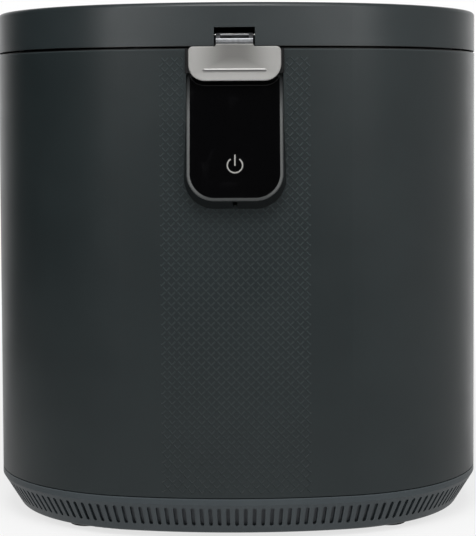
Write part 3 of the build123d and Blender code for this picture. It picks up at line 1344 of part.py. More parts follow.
def make_power_inlet():
    """The block in the back wall with the socket for the mains lead."""
    back = SHELL_BACK + INLET_PROUD
    housing = inlet_block(0, INLET_FLOOR_Y - INLET_FLOOR, back)
    housing &= prism(-INLET_PROUD, BODY_BOTTOM, BODY_TOP)
    half_width, half_height = INLET_SOCKET_WIDTH / 2, INLET_SOCKET_HEIGHT / 2
    socket = block(INLET_X - half_width, INLET_X + half_width, INLET_FLOOR_Y, back + OVERCUT,
                   INLET_Z - half_height, INLET_Z + half_height)
    top_edges = socket.edges().filter_by(Axis.Y).group_by(Axis.Z)[-1]
    return housing - chamfer(top_edges, INLET_SOCKET_CHAMFER)


def make_inlet_pins():
    back = INLET_FLOOR_Y + INLET_PIN_LENGTH
    pins = []
    for x, z in INLET_PIN_PLACES:
        left, bottom = INLET_X + x - INLET_PIN_HALF_WIDTH, INLET_Z + z - INLET_PIN_HALF_HEIGHT
        pins.append(block(left, left + 2 * INLET_PIN_HALF_WIDTH, INLET_FLOOR_Y, back,
                          bottom, bottom + 2 * INLET_PIN_HALF_HEIGHT))
    return pins


# ---- Control panel ----

def panel_skirt():
    """The foot of the tray, which flares from the rim back to the wall of the body."""
    plane = panel_plane()
    rim = plane * panel_sketch(0)
    foot = plane.offset(-PANEL_FLARE_DEPTH) * panel_sketch(-PANEL_FLARE, 0.0)
    return loft([rim, foot], ruled=True) - prism(0, BODY_BOTTOM, BODY_TOP)


def make_panel_housing():
    """A tray that carries the glass on a ledge, with a small notch in its skirt."""
    housing = panel_solid(0, 0, -PANEL_DEPTH) + panel_skirt()
    housing -= panel_solid(PANEL_RIM, OVERCUT, -GLASS_SINK - GLASS_THICKNESS)
    housing -= panel_solid(PANEL_RIM + PANEL_LEDGE, OVERCUT, -PANEL_DEPTH + PANEL_BACK_WALL)
    notch = Box(PANEL_NOTCH_WIDTH, PANEL_NOTCH_REACH, PANEL_DEPTH)
    up = PANEL_NOTCH_DEPTH - PANEL_NOTCH_REACH / 2
    back = -PANEL_DEPTH / 2 - PANEL_NOTCH_START
    return housing - panel_plane().location * Pos(0, up, back) * notch


def make_panel_glass():
    return panel_solid(PANEL_RIM + GLASS_GAP, -GLASS_SINK, -GLASS_SINK - GLASS_THICKNESS)


def make_power_mark():
    """The on and off sign: an open ring with a short bar in the gap."""
    ring = Circle(MARK_RADIUS) - Circle(MARK_RADIUS - MARK_STROKE)
    far_x, far_y = polar(2 * MARK_RADIUS, 90 - MARK_GAP_ANGLE)
    ring -= make_face(Polyline([(0, 0), (far_x, far_y), (-far_x, far_y)], close=True))
    bar = Pos(0, MARK_BAR / 2 - MARK_BAR_FOOT) * Rectangle(MARK_STROKE, MARK_BAR)
    plane = panel_plane().offset(-GLASS_SINK)
    marks = []
    for form in (ring, bar):
        face = plane * (Pos(0, MARK_UP) * form)
        marks.append(extrude(face, MARK_THICKNESS, dir=plane.z_dir))
    return marks


def make_panel_board():
    """The board behind the glass, held at its sides by the tray, with one chip."""
    width = PANEL_WIDTH - 2 * (PANEL_RIM + PANEL_LEDGE) - 2 * FIT
    plane = panel_plane().offset(-PANEL_DEPTH + PANEL_BOARD_GAP)
    sheet = Rectangle(width, panel_length() - PANEL_BOARD_SHORTER)
    place = Pos(0, panel_length() / 2 + PANEL_BOARD_RISE)
    board = extrude(plane * (place * sheet), BOARD_THICKNESS, dir=plane.z_dir)
    chip = Pos(0, panel_length() / 2) * Rectangle(PANEL_CHIP, PANEL_CHIP)
    face = plane.offset(BOARD_THICKNESS) * chip
    return board + extrude(face, PANEL_CHIP_HEIGHT, dir=plane.z_dir)


# ---- Latch ----

def make_latch_pocket():
    """The lining of the recess behind the latch: a floor, a back and two sides."""
    half = RECESS_WIDTH / 2 - RECESS_SIDE_GAP
    inner = half - RECESS_WALL
    bottom = RECESS_FLOOR_Z - RECESS_WALL
    pocket = block(-half, half, SHELL_FRONT, RECESS_BACK + RECESS_WALL, bottom, BODY_TOP)
    pocket -= block(-inner, inner, SHELL_FRONT - OVERCUT, RECESS_BACK, RECESS_FLOOR_Z,
                    BODY_TOP + OVERCUT)
    return pocket & prism(2 * FIT, bottom, BODY_TOP)


def make_catch_spring():
    """A leaf on the back of the recess. Its bump stands just above the nose of the lever."""
    face = RECESS_BACK
    near = face - SPRING_SHEET
    tip = near - SPRING_BUMP
    bottom, top = RECESS_FLOOR_Z + SPRING_LOW_END, BODY_TOP - SPRING_TOP_END
    low = NOSE_TOP_Z + SPRING_NOSE_GAP
    crest, high = low + SPRING_RISE, low + SPRING_BUMP_HEIGHT
    points = [
        (face, bottom), (near, bottom), (near, low), (tip, crest), (near, high), (near, top),
        (face, top), (face, high), (tip + SPRING_INNER, crest), (face, low),
    ]
    return side_profile(points, -SPRING_WIDTH / 2, SPRING_WIDTH / 2)


def make_latch_plate():
    """One stamped sheet: the wide pull plate with its rib, and the neck up to the lever's bar."""
    half = PLATE_WIDTH / 2
    low, high = PLATE_BOTTOM_CORNER, PLATE_TOP_CORNER
    bottom, top = PLATE_BOTTOM_Z, PLATE_TOP_Z
    corner = math.sqrt(0.5)

    def at(x, z):
        return x, PLATE_BACK, z

    edges = []
    for side in (1, -1):
        edges.append(Line(at(0, bottom), at(side * (half - low), bottom)))
        edges.append(ThreePointArc(
            at(side * (half - low), bottom),
            at(side * (half - low + low * corner), bottom + low - low * corner),
            at(side * half, bottom + low)))
        edges.append(Line(at(side * half, bottom + low), at(side * half, top - high)))
        edges.append(ThreePointArc(
            at(side * half, top - high),
            at(side * (half - high + high * corner), top - high + high * corner),
            at(side * (half - high), top)))
        neck, root = side * NECK_WIDTH / 2, side * (NECK_WIDTH / 2 + NECK_SPREAD)
        edges.append(Line(at(side * (half - high), top), at(root, top)))
        edges.append(Line(at(root, top), at(neck, top + NECK_HEIGHT)))
        edges.append(Line(at(neck, top + NECK_HEIGHT), at(0, top + NECK_HEIGHT)))
    plate = extrude(make_face(edges), PLATE_SHEET, dir=(0, -1, 0))
    plate = chamfer(plate.edges().group_by(Axis.Y)[0], PLATE_EDGE)
    return plate + latch_rib()


def latch_rib():
    """The pressed rib along the plate, pointed at both ends."""
    level = PLATE_BOTTOM_Z + RIB_UP
    half, rise = RIB_WIDTH / 2, RIB_HEIGHT / 2
    foot = [(-half, 0), (-half + rise, -rise), (half - rise, -rise), (half, 0),
            (half - rise, rise), (-half + rise, rise)]
    shorter = 1 - 2 * RIB_TAPER * rise / half
    crest = [(x * shorter, z * RIB_TAPER) for x, z in foot]
    faces = []
    for points, y in ((foot, PLATE_FRONT + RIB_ROOT), (crest, PLATE_FRONT - RIB_RISE)):
        loop = Polyline([(x, y, level + z) for x, z in points], close=True)
        faces.append(make_face(loop))
    return loft(faces, ruled=True)


def make_latch_lever():
    """The cast lever behind the plate, with a barrel on the pin, a cross bar and the nose."""
    half = NECK_WIDTH / 2
    back = PLATE_BACK + LEVER_THICKNESS
    bar_bottom = PLATE_TOP_Z + NECK_HEIGHT + BAR_GAP
    bar_top = PIN_Z - BAR_DROP
    lever = block(-half, half, PLATE_BACK, back, PLATE_BOTTOM_Z + LEVER_FOOT, bar_bottom + LAP)
    bar = block(-half, half, PLATE_FRONT + BAR_SETBACK, back, bar_bottom, bar_top)
    lever += fillet(bar.edges().filter_by(Axis.X).sort_by(Axis.Y)[:2], BAR_EDGE)
    barrel = LATCH_PIN_RADIUS + BARREL_WALL
    root = back - LEVER_ARM_ROOT
    for left, right in ((-half, -half + LEVER_ARM_WIDTH), (half - LEVER_ARM_WIDTH, half)):
        lever += side_profile([(root, bar_bottom), (root, bar_top), (PIN_Y, PIN_Z + barrel),
                               (PIN_Y + barrel, PIN_Z), (back, bar_bottom - OVERCUT)], left, right)
    lever += cross_pin(barrel, -half, half, PIN_Y, PIN_Z)
    tip = RECESS_BACK - SPRING_SHEET - NOSE_CLEARANCE
    nose_bottom = NOSE_TOP_Z - NOSE_HEIGHT
    nose = [(back - LAP, NOSE_TOP_Z), (tip - NOSE_BEVEL, NOSE_TOP_Z),
            (tip, NOSE_TOP_Z - 2 * NOSE_BEVEL), (tip - NOSE_SLOPE, nose_bottom),
            (back - LAP, nose_bottom)]
    lever += side_profile(nose, -NOSE_WIDTH / 2, NOSE_WIDTH / 2)
    bore = LATCH_PIN_RADIUS + RUNNING_FIT
    return lever - cross_pin(bore, -half - OVERCUT, half + OVERCUT, PIN_Y, PIN_Z)


def make_latch_pin():
    half = LATCH_NOTCH_WIDTH / 2 + LATCH_EAR_REACH - LAP
    return cross_pin(LATCH_PIN_RADIUS, -half, half, PIN_Y, PIN_Z)


# ---- Hinge ----

def hinge_spans(centre):
    """Left knuckle, lid arm and right knuckle, as ranges along X."""
    arm = HINGE_ARM_WIDTH / 2
    inner = arm + HINGE_SIDE_GAP
    outer = inner + HINGE_KNUCKLE_WIDTH
    left = (centre - outer, centre - inner)
    right = (centre + inner, centre + outer)
    return left, (centre - arm, centre + arm), right


def behind_shell(form):
    return form - prism(0, 0, 2 * LID_TOP)


def make_hinge_base():
    """Two blocks on the back wall, each with two knuckles and a gap for the lid's arm."""
    bases = []
    front, back = SHELL_BACK - HINGE_ROOT, HINGE_Y + HINGE_RADIUS
    top = HINGE_Z - HINGE_BLOCK_DROP
    for centre in (-HINGE_X, HINGE_X):
        left, _, right = hinge_spans(centre)
        base = block(left[0], right[1], front, back, top - HINGE_BLOCK_HEIGHT, top)
        low_back = base.edges().filter_by(Axis.X).group_by(Axis.Z)[0].sort_by(Axis.Y)[-1:]
        base = fillet(low_back, HINGE_BLOCK_CORNER)
        for start, end in (left, right):
            base += block(start, end, front, back, top - LAP, HINGE_Z - HINGE_ARM_GAP)
            base += cross_pin(HINGE_RADIUS, start, end, HINGE_Y, HINGE_Z)
        base -= cross_pin(HINGE_PIN_RADIUS, left[0] - OVERCUT, right[1] + OVERCUT, HINGE_Y, HINGE_Z)
        base -= cross_pin(HINGE_RADIUS + HINGE_ARM_GAP, left[1], right[0], HINGE_Y, HINGE_Z)
        bases.append(behind_shell(base))
    return bases


def make_hinge_pins():
    pins = []
    for centre in (-HINGE_X, HINGE_X):
        left, _, right = hinge_spans(centre)
        pins.append(cross_pin(HINGE_PIN_RADIUS, left[0], right[1], HINGE_Y, HINGE_Z))
    return pins


def make_lid_hinge_arms():
    arms = []
    for centre in (-HINGE_X, HINGE_X):
        _, span, _ = hinge_spans(centre)
        start, end = span
        arm = block(start, end, SHELL_BACK - HINGE_ROOT, HINGE_Y + HINGE_RADIUS, LID_BOTTOM,
                    LID_BOTTOM + HINGE_ARM_HEIGHT)
        top_back = arm.edges().filter_by(Axis.X).group_by(Axis.Z)[-1].sort_by(Axis.Y)[-1:]
        arm = fillet(top_back, HINGE_ARM_CORNER)
        arm += cross_pin(HINGE_RADIUS, start, end, HINGE_Y, HINGE_Z)
        bore = HINGE_PIN_RADIUS + RUNNING_FIT
        arm -= cross_pin(bore, start - OVERCUT, end + OVERCUT, HINGE_Y, HINGE_Z)
        arms.append(behind_shell(arm))
    return arms


# ---- Lid ----

def crown(drop=0.0):
    """A very large ball whose top gives the lid its slight dome."""
    rise = (DEPTH / 2) ** 2 / (2 * LID_CROWN_RADIUS)
    level = LID_TOP + rise - drop - LID_CROWN_RADIUS
    return Pos(0, 0, level) * Sphere(LID_CROWN_RADIUS)


def make_lid_shell():
    """The domed cover, with posts for its screws and a notch between two blocks for the latch."""
    lid = prism(0, LID_BOTTOM, 2 * LID_TOP) & crown()
    lid = fillet(lid.faces().sort_by(Axis.Z)[-1].edges(), LID_EDGE_RADIUS)
    lid -= prism(WALL, LID_BOTTOM - OVERCUT, 2 * LID_TOP) & crown(WALL)
    for x, y in lid_screw_places():
        post = cylinder(LID_BOSS_RADIUS, LINER_TOP, LID_TOP - WALL + LAP, x, y)
        lid += post - screw_hole(x, y, LINER_BOTTOM, True)
    notch = LATCH_NOTCH_WIDTH / 2
    outer = notch + LATCH_EAR_REACH
    notch_top = LID_BOTTOM + LATCH_NOTCH_HEIGHT
    front, back = SHELL_FRONT + WALL - LAP, PIN_Y + LATCH_BLOCK_DEPTH
    for left, right in ((-outer, -notch), (notch, outer)):
        lid += block(left, right, front, back, LID_BOTTOM + LATCH_BLOCK_LIFT,
                     notch_top + LATCH_BLOCK_RISE)
    lid -= block(-notch, notch, SHELL_FRONT - OVERCUT, back + OVERCUT, LID_BOTTOM - OVERCUT,
                 notch_top)
    return lid - make_latch_pin()


def lid_screw_places():
    places = []
    for place, _ in outline_places(LID_SCREW_INSET, LID_SCREW_COUNT, 0.5):
        places.append((place.X, place.Y))
    return places


def make_lid_liner():
    liner = prism(WALL + LINER_FIT, LINER_BOTTOM, LINER_TOP)
    half = LATCH_NOTCH_WIDTH / 2 + LATCH_EAR_REACH + LINER_NOTCH_MARGIN
    liner -= block(-half, half, SHELL_FRONT, PIN_Y + LINER_NOTCH_DEPTH,
                   LINER_BOTTOM - OVERCUT, LINER_TOP + OVERCUT)
    for x, y in lid_screw_places():
        liner -= screw_hole(x, y, LINER_BOTTOM, True)
    return liner


def make_lid_gasket():
    """The ring under the liner, whose narrow lip reaches down to the deck."""
    lip_top = DECK_TOP + GASKET_LIP_HEIGHT
    foot = band(GASKET_INSET, GASKET_INSET + GASKET_WIDTH, lip_top, LINER_BOTTOM)
    lip_inset = GASKET_INSET + (GASKET_WIDTH - GASKET_LIP) / 2
    return foot + band(lip_inset, lip_inset + GASKET_LIP, DECK_TOP + FIT, lip_top + LAP)


def make_lid_screws():
    return [screw(x, y, LINER_BOTTOM, True) for x, y in lid_screw_places()]


# ---- Every sub-part, with its file name ----

PIECES = {
    "base_ring": make_base_ring,
    "base_plate": make_base_plate,
    "rubber_feet": make_rubber_feet,
    "support_posts": make_support_posts,
    "chassis_plate": make_chassis_plate,
    "case_screws": make_case_screws,
    "body_shell": make_body_shell,
    "top_deck": make_top_deck,
    "heater_well": make_heater_well,
    "heater_plate": make_heater_plate,
    "heater_element": make_heater_element,
    "temperature_probe": make_temperature_probe,
    "insulation_jacket": make_insulation_jacket,
    "shaft_seal": make_shaft_seal,
    "gearbox_case": make_gearbox_case,
    "gearbox_cover": make_gearbox_cover,
    "output_gear": make_output_gear,
    "output_shaft": make_output_shaft,
    "idler_gear": make_idler_gear,
    "motor_case": make_motor_case,
    "motor_stator": make_motor_stator,
    "motor_rotor": make_motor_rotor,
    "motor_pinion": make_motor_pinion,
    "bucket_pot": make_bucket_pot,
    "bucket_bush": make_bucket_bush,
    "bucket_grips": make_bucket_grips,
    "fixed_blades": make_fixed_blades,
    "grinder_rotor": make_grinder_rotor,
    "rotor_coupling": make_rotor_coupling,
    "fan_housing": make_fan_housing,
    "fan_cover": make_fan_cover,
    "fan_motor": make_fan_motor,
    "fan_impeller": make_fan_impeller,
    "intake_duct": make_intake_duct,
    "intake_grille": make_intake_grille,
    "filter_bay": make_filter_bay,
    "drawer_front": make_drawer_front,
    "filter_tray": make_filter_tray,
    "carbon_pack": make_carbon_pack,
    "filter_mesh": make_filter_mesh,
    "main_board": make_main_board,
    "board_parts": make_board_parts,
    "power_inlet": make_power_inlet,
    "inlet_pins": make_inlet_pins,
    "panel_housing": make_panel_housing,
    "panel_glass": make_panel_glass,
    "power_mark": make_power_mark,
    "panel_board": make_panel_board,
    "latch_pocket": make_latch_pocket,
    "catch_spring": make_catch_spring,
    "latch_plate": make_latch_plate,
    "latch_lever": make_latch_lever,
    "latch_pin": make_latch_pin,
    "hinge_base": make_hinge_base,
    "hinge_pins": make_hinge_pins,
    "lid_hinge_arms": make_lid_hinge_arms,
    "lid_shell": make_lid_shell,
    "lid_liner": make_lid_liner,
    "lid_gasket": make_lid_gasket,
    "lid_screws": make_lid_screws,
}

os.makedirs("parts", exist_ok=True)
for name, make in PIECES.items():
    form = make()
    shapes = form if isinstance(form, list) else [form]
    solids = [solid for shape in shapes for solid in shape.solids()]
    export_step(Compound(children=solids), f"parts/{name}.step")
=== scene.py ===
import json
import math

import bmesh
import bpy
from mathutils import Matrix, Vector


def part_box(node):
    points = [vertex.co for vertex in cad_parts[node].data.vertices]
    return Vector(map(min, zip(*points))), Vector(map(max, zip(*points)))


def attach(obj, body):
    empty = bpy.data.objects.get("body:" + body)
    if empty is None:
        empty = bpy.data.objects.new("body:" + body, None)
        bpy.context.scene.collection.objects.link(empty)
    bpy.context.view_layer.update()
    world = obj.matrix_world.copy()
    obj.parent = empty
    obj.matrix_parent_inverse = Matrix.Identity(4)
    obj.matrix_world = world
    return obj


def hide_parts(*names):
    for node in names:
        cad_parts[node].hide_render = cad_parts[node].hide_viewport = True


# The looks of a counter-top electric food waste composter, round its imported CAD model.
# X runs to the right, Y to the back and Z up, in metres. The control panel faces -Y.

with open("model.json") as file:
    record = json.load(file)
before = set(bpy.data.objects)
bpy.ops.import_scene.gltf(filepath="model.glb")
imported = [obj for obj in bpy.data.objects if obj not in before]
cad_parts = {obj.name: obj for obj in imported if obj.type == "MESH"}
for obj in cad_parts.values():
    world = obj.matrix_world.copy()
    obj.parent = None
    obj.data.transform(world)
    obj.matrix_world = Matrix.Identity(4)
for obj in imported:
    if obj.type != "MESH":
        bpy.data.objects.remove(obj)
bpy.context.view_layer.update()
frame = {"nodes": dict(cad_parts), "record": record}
NODES = frame["nodes"]
MM = 0.001


# ---- Writing node trees ----

class Value:
    """A node's output that takes part in Python sums: each operator adds one Math node."""

    def __init__(self, writer, socket):
        self.writer = writer
        self.socket = socket

    def also(self, name):
        """Another output of the same node."""
        return Value(self.writer, self.writer.find(self.socket.node.outputs, name))

    def maths(self, operation, *terms):
        return self.writer.add("ShaderNodeMath", {"operation": operation}, enumerate(terms))

    def __add__(self, other):
        return self.maths("ADD", self, other)

    def __radd__(self, other):
        return self.maths("ADD", other, self)

    def __sub__(self, other):
        return self.maths("SUBTRACT", self, other)

    def __rsub__(self, other):
        return self.maths("SUBTRACT", other, self)

    def __mul__(self, other):
        return self.maths("MULTIPLY", self, other)

    def __truediv__(self, other):
        return self.maths("DIVIDE", self, other)

    def __mod__(self, other):
        return self.maths("MODULO", self, other)

    def __pow__(self, other):
        return self.maths("POWER", self, other)

    def __lt__(self, other):
        return self.maths("LESS_THAN", self, other)

    def __gt__(self, other):
        return self.maths("GREATER_THAN", self, other)

    def wave(self):
        return self.maths("SINE", self)

    def cosine(self):
        return self.maths("COSINE", self)

    def size(self):
        return self.maths("ABSOLUTE", self)

    def rounded_down(self):
        return self.maths("FLOOR", self)

    def or_more(self, other):
        """The greater of two values."""
        return self.maths("MAXIMUM", self, other)

    def or_less(self, other):
        """The smaller of two values."""
        return self.maths("MINIMUM", self, other)

    def ramp(self, low, high, to_low=0.0, to_high=1.0):
        """Runs smoothly from to_low at low to to_high at high, and stays there."""
        return self.writer.add("ShaderNodeMapRange", {"interpolation_type": "SMOOTHSTEP"},
                               {"Value": self, "From Min": low, "From Max": high,
                                "To Min": to_low, "To Max": to_high})


class Writer:
    """Adds nodes to one tree: the type, then its settings, then its sockets' values or links."""

    def __init__(self, tree):
        self.tree = tree

    def find(self, sockets, name):
        """A socket by its place in the list, its identifier or the name that it shows."""
        if isinstance(name, int):
            return sockets[name]
        for socket in sockets:
            if socket.identifier == name:
                return socket
        return next(s for s in sockets if s.name == name and s.enabled)

    def add(self, kind, settings=None, inputs=(), output=0):
        node = self.tree.nodes.new(kind)
        for name, value in (settings or {}).items():
            setattr(node, name, value)
        for name, value in dict(inputs).items():
            socket = self.find(node.inputs, name)
            if isinstance(value, Value):
                self.tree.links.new(value.socket, socket)
            else:
                socket.default_value = value
        return Value(self, self.find(node.outputs, output)) if len(node.outputs) else node

    def parts(self, vector):
        """The three numbers of a vector."""
        x = self.add("ShaderNodeSeparateXYZ", None, {"Vector": vector}, "X")
        return x, x.also("Y"), x.also("Z")

    def vector(self, x, y, z):
        """A vector of three numbers or values."""
        return self.add("ShaderNodeCombineXYZ", None, {"X": x, "Y": y, "Z": z})


class Finish(Writer):
    """A material: one Principled surface, with patterns laid out in Object coordinates."""

    def __init__(self, name, colour, roughness, **fixed):
        self.material = bpy.data.materials.new(name)
        self.material.use_nodes = True
        super().__init__(self.material.node_tree)
        self.tree.nodes.clear()
        inputs = {"Base Color": (*colour, 1.0), "Roughness": roughness}
        for setting, value in fixed.items():
            inputs[setting.replace("_", " ")] = value
        self.shader = self.add("ShaderNodeBsdfPrincipled", None, inputs)
        self.add("ShaderNodeOutputMaterial", None, {"Surface": self.shader})
        self.place = self.add("ShaderNodeTexCoord", None, (), "Object")
        self.x, self.y, self.z = self.parts(self.place)

    def noise(self, period, detail=2.0, stretch=(1.0, 1.0, 1.0), place=None, seed=0.0):
        """Soft noise from 0 to 1. The period is the size of its lumps, in millimetres."""
        if stretch != (1.0, 1.0, 1.0) or seed:
            place = self.add("ShaderNodeMapping", None,
                             {"Vector": place or self.place, "Scale": stretch,
                              "Location": (seed, seed * 0.7, seed * 0.3)})
        return self.add("ShaderNodeTexNoise", None,
                        {"Vector": place or self.place, "Scale": 1 / (period * MM),
                         "Detail": detail}, "Fac")

    def cells(self, period, output="Distance", place=None):
        """Distance into, or colour of, the nearest of many scattered cells, a period in mm apart."""
        return self.add("ShaderNodeTexVoronoi", None,
                        {"Vector": place or self.place, "Scale": 1 / (period * MM)}, output)

    def blend(self, share, first, second):
        """A colour between two others."""
        ends = [c if isinstance(c, Value) else (*c, 1.0) for c in (first, second)]
        return self.add("ShaderNodeMix", {"data_type": "RGBA"},
                        {"Factor_Float": share, "A_Color": ends[0], "B_Color": ends[1]},
                        "Result_Color")

    def varies(self, **inputs):
        """Links what changes over the surface to the surface's own inputs."""
        for name, value in inputs.items():
            self.tree.links.new(value.socket, self.shader.socket.node.inputs[name.replace("_", " ")])
        return self

    def relief(self, height, depth):
        """Raises the surface by the height, which runs from 0 to 1, times the depth in mm."""
        return self.varies(Normal=self.add("ShaderNodeBump", None,
                                           {"Height": height, "Distance": depth * MM,
                                            "Strength": 1.0}))


# ---- Finishes ----

# The upright axes that turned and wound finishes follow, in metres.
GRINDER_AXIS = (0.0, 1.0 * MM)
MOTOR_AXIS = (-82.5 * MM, 1.0 * MM)


def scaled(colour, share):
    return tuple(level * share for level in colour)


def moulded(name, dark, light, roughness, bands=(), lean=0.0):
    """Textured moulded plastic, faintly clouded, with the smudges of handling in its gloss.

    Each band is a range of heights in mm with a colour painted there: painted shade in the gap
    of a seam, or a painted highlight along the edge beside it. The lean is the slope of a wall
    that draws in towards its top.
    """
    grain_depth = 0.03
    f = Finish(name, light, roughness, IOR=1.48)
    speckle = f.noise(0.7, 3.0)
    clouds = f.noise(45.0, 2.0)
    smudges = f.noise(22.0, 4.0, seed=3.1)
    tone = clouds * 0.6 + speckle * 0.4
    colour = f.blend(tone.ramp(0.3, 0.7), dark, light)
    # Painted light: a band paints shade into a seam's gap, or a highlight along an edge beside it.
    for low, high, edge in bands:
        colour = f.blend((f.z > low * MM) * (f.z < high * MM), colour, edge)
    f.varies(Base_Color=colour,
             Roughness=roughness - 0.05 + smudges * 0.07 + speckle * 0.04)
    return f.relief(speckle - f.z * (lean / (grain_depth * MM)), grain_depth).material


def rib_plastic(name, dark, light, paler, roughness):
    """The case's plastic on its raised ribs, painted paler than the ground as a highlight, less so
    low down.
    """
    f = Finish(name, light, roughness, IOR=1.48)
    speckle = f.noise(0.7, 3.0)
    # Painted highlight: the ribs are paler than the ground, less so towards the foot.
    rib_highlight_share = f.z.ramp(20 * MM, 190 * MM, 0.25, 1.0)
    plain = f.blend(speckle, dark, light)
    rib_highlight = f.blend(speckle, scaled(dark, paler), scaled(light, paler))
    f.varies(Base_Color=f.blend(rib_highlight_share, plain, rib_highlight), Roughness=roughness + speckle * 0.05)
    return f.relief(speckle, 0.02).material


# The lean of the panel's face, and where its foot lies.
PANEL_LEAN = math.radians(12.5)
PANEL_FOOT_Y, PANEL_FOOT_Z = -151 * MM, 217.9 * MM


def panel_places(finish):
    """How far up the leaning face of the panel a point lies, and how deep behind it."""
    out, rise = finish.y - PANEL_FOOT_Y, finish.z - PANEL_FOOT_Z
    return (out * math.sin(PANEL_LEAN) + rise * math.cos(PANEL_LEAN),
            out * math.cos(PANEL_LEAN) - rise * math.sin(PANEL_LEAN))


def bezel(name, skirt, rim, side_highlight, roughness):
    """The panel's tray: a dark skirt, and a smoother pale line round the glass that is a painted
    highlight.

    The distance inwards from the face's rounded outer edge tells the line from the skirt: the
    outer edge of the face is painted in the skirt's dark, painted shade. The line fades out
    towards the top, painted shade where the panel goes in under the latch plate.
    """
    half_width, corner = 30.15 * MM, 17.5 * MM
    face_depth, edge_width = 0.08 * MM, 0.55 * MM
    f = Finish(name, rim, roughness, IOR=1.48)
    up, depth = panel_places(f)
    beyond_side = (f.x.size() - (half_width - corner)).or_more(0.0)
    beyond_foot = (corner - up).or_more(0.0)
    inwards = corner - (beyond_side * beyond_side + beyond_foot * beyond_foot) ** 0.5
    # Painted shade: the highlight fades out towards the top, under the latch plate.
    rim_highlight_fade = up.ramp(48 * MM, 76 * MM, 1.0, 0.0)
    line = (depth < face_depth) * (inwards > edge_width) * rim_highlight_fade
    grain = f.noise(0.5, 3.0)
    # Painted highlight: paler towards the sides, where the rim would catch the side lamps.
    pale = f.blend(f.x.size().ramp(16 * MM, 29 * MM), rim, side_highlight)
    plain = f.blend(grain, scaled(skirt, 0.8), scaled(skirt, 1.2))
    f.varies(Base_Color=f.blend(line * (0.85 + grain * 0.15), plain, pale),
             Roughness=roughness + (1 - rim_highlight_fade) * 0.4 + grain * 0.08)
    return f.relief(grain, 0.008).material


def flowed(name, dark, light, roughness):
    """Plain satin plastic inside the machine, with the flow marks of its mould."""
    f = Finish(name, light, roughness, IOR=1.48)
    bend = f.noise(60.0, 1.0, seed=1.7)
    flow = ((f.x + f.y * 0.6) * 180 + bend * 16).wave() * 0.5 + 0.5
    fine = f.noise(1.2, 2.0)
    f.varies(Base_Color=f.blend(flow * 0.4 + bend * 0.6, dark, light),
             Roughness=roughness + flow * 0.05 + fine * 0.06)
    return f.relief(fine, 0.012).material


def brushed(name, dark, light, roughness, stretch):
    """Metal ground in one direction, whose fine lines are long where the stretch is small."""
    f = Finish(name, light, roughness, Metallic=1.0)
    lines = f.noise(1.0, 3.0, stretch)
    bands = f.noise(9.0, 2.0, stretch, seed=2.3)
    f.varies(Base_Color=f.blend(lines * 0.6 + bands * 0.4, dark, light),
             Roughness=roughness - 0.08 + lines * 0.1 + bands * 0.06)
    return f.relief(lines, 0.006).material


def turned(name, dark, light, roughness, tarnish=0.3):
    """Metal spun or turned on the grinder's axis, with fine rings and a little tarnish."""
    f = Finish(name, light, roughness, Metallic=1.0)
    x, y = f.x - GRINDER_AXIS[0], f.y - GRINDER_AXIS[1]
    radius = (x * x + y * y) ** 0.5
    rings = f.noise(0.5, 2.0, place=f.vector(radius, f.z, 0.0))
    stain = f.noise(14.0, 4.0)
    f.varies(Base_Color=f.blend(rings * (1 - tarnish) + stain * tarnish, dark, light),
             Roughness=roughness - 0.06 + rings * 0.08 + stain * 0.1)
    return f.relief(rings, 0.012).material


def cast(name, dark, light, roughness):
    """Die-cast metal: a dull, slightly pebbled skin with darker hollows."""
    f = Finish(name, light, roughness, Metallic=1.0)
    pebbles = f.noise(1.6, 4.0)
    flow = f.noise(12.0, 3.0, seed=5.0)
    f.varies(Base_Color=f.blend((pebbles * 0.5 + flow * 0.5).ramp(0.3, 0.7), dark, light),
             Roughness=roughness + pebbles * 0.12)
    return f.relief(pebbles, 0.05).material


def galvanised(name, dark, light, roughness):
    """Zinc-plated sheet, with the faint flakes of its coat."""
    f = Finish(name, light, roughness, Metallic=1.0)
    flake = f.parts(f.cells(7.0, "Color"))[0]
    scuffs = f.noise(2.0, 3.0, (1.0, 0.15, 1.0))
    f.varies(Base_Color=f.blend(flake * 0.7 + scuffs * 0.3, dark, light),
             Roughness=roughness + flake * 0.1 + scuffs * 0.08)
    return f.relief(scuffs, 0.01).material


def speckled_coat(name, ground, fleck, roughness, metal=0.3):
    """Non-stick coat: dark, with pale mineral flecks, and polished thin in places."""
    f = Finish(name, ground, roughness, Metallic=metal, Coat_Weight=0.15, Coat_Roughness=0.3)
    spots = f.cells(1.5) < 0.2
    picked = f.parts(f.cells(1.5, "Color"))[0] > 0.55
    wear = f.noise(26.0, 5.0)
    orange_peel = f.noise(0.9, 2.0)
    coat = f.blend(wear.ramp(0.45, 0.75), ground, scaled(ground, 1.7))
    f.varies(Base_Color=f.blend(spots * picked, coat, fleck),
             Roughness=roughness + wear * 0.15)
    return f.relief(orange_peel, 0.02).material


def rubbery(name, dark, light, roughness, rib_pitch=0.0):
    """Matt rubber with a dusting, and fine moulded rings where it has a rib pitch."""
    f = Finish(name, light, roughness, IOR=1.5, Specular_IOR_Level=0.35)
    dust = f.noise(5.0, 5.0)
    grain = f.noise(0.6, 2.0)
    height = grain * 0.4
    if rib_pitch:
        height = height + (f.z * (2 * math.pi / (rib_pitch * MM))).wave() * 0.3 + 0.3
    f.varies(Base_Color=f.blend(dust.ramp(0.35, 0.75), dark, light),
             Roughness=roughness - 0.1 + dust * 0.15)
    return f.relief(height, 0.06).material


def felted(name, dark, light):
    """Needled mineral felt: crossed fibres, soft lumps and a fuzzy edge to the light."""
    f = Finish(name, light, 0.95, Sheen_Weight=0.4, Sheen_Roughness=0.6,
               Specular_IOR_Level=0.2)
    across = f.noise(0.35, 3.0, (1.0, 1.0, 6.0))
    along = f.noise(0.35, 3.0, (5.0, 5.0, 0.7), seed=4.0)
    tufts = f.noise(6.0, 3.0)
    fibres = across.or_more(along)
    f.varies(Base_Color=f.blend((fibres * 0.6 + tufts * 0.4).ramp(0.35, 0.7), dark, light))
    return f.relief(fibres * 0.7 + tufts * 0.3, 0.35).material


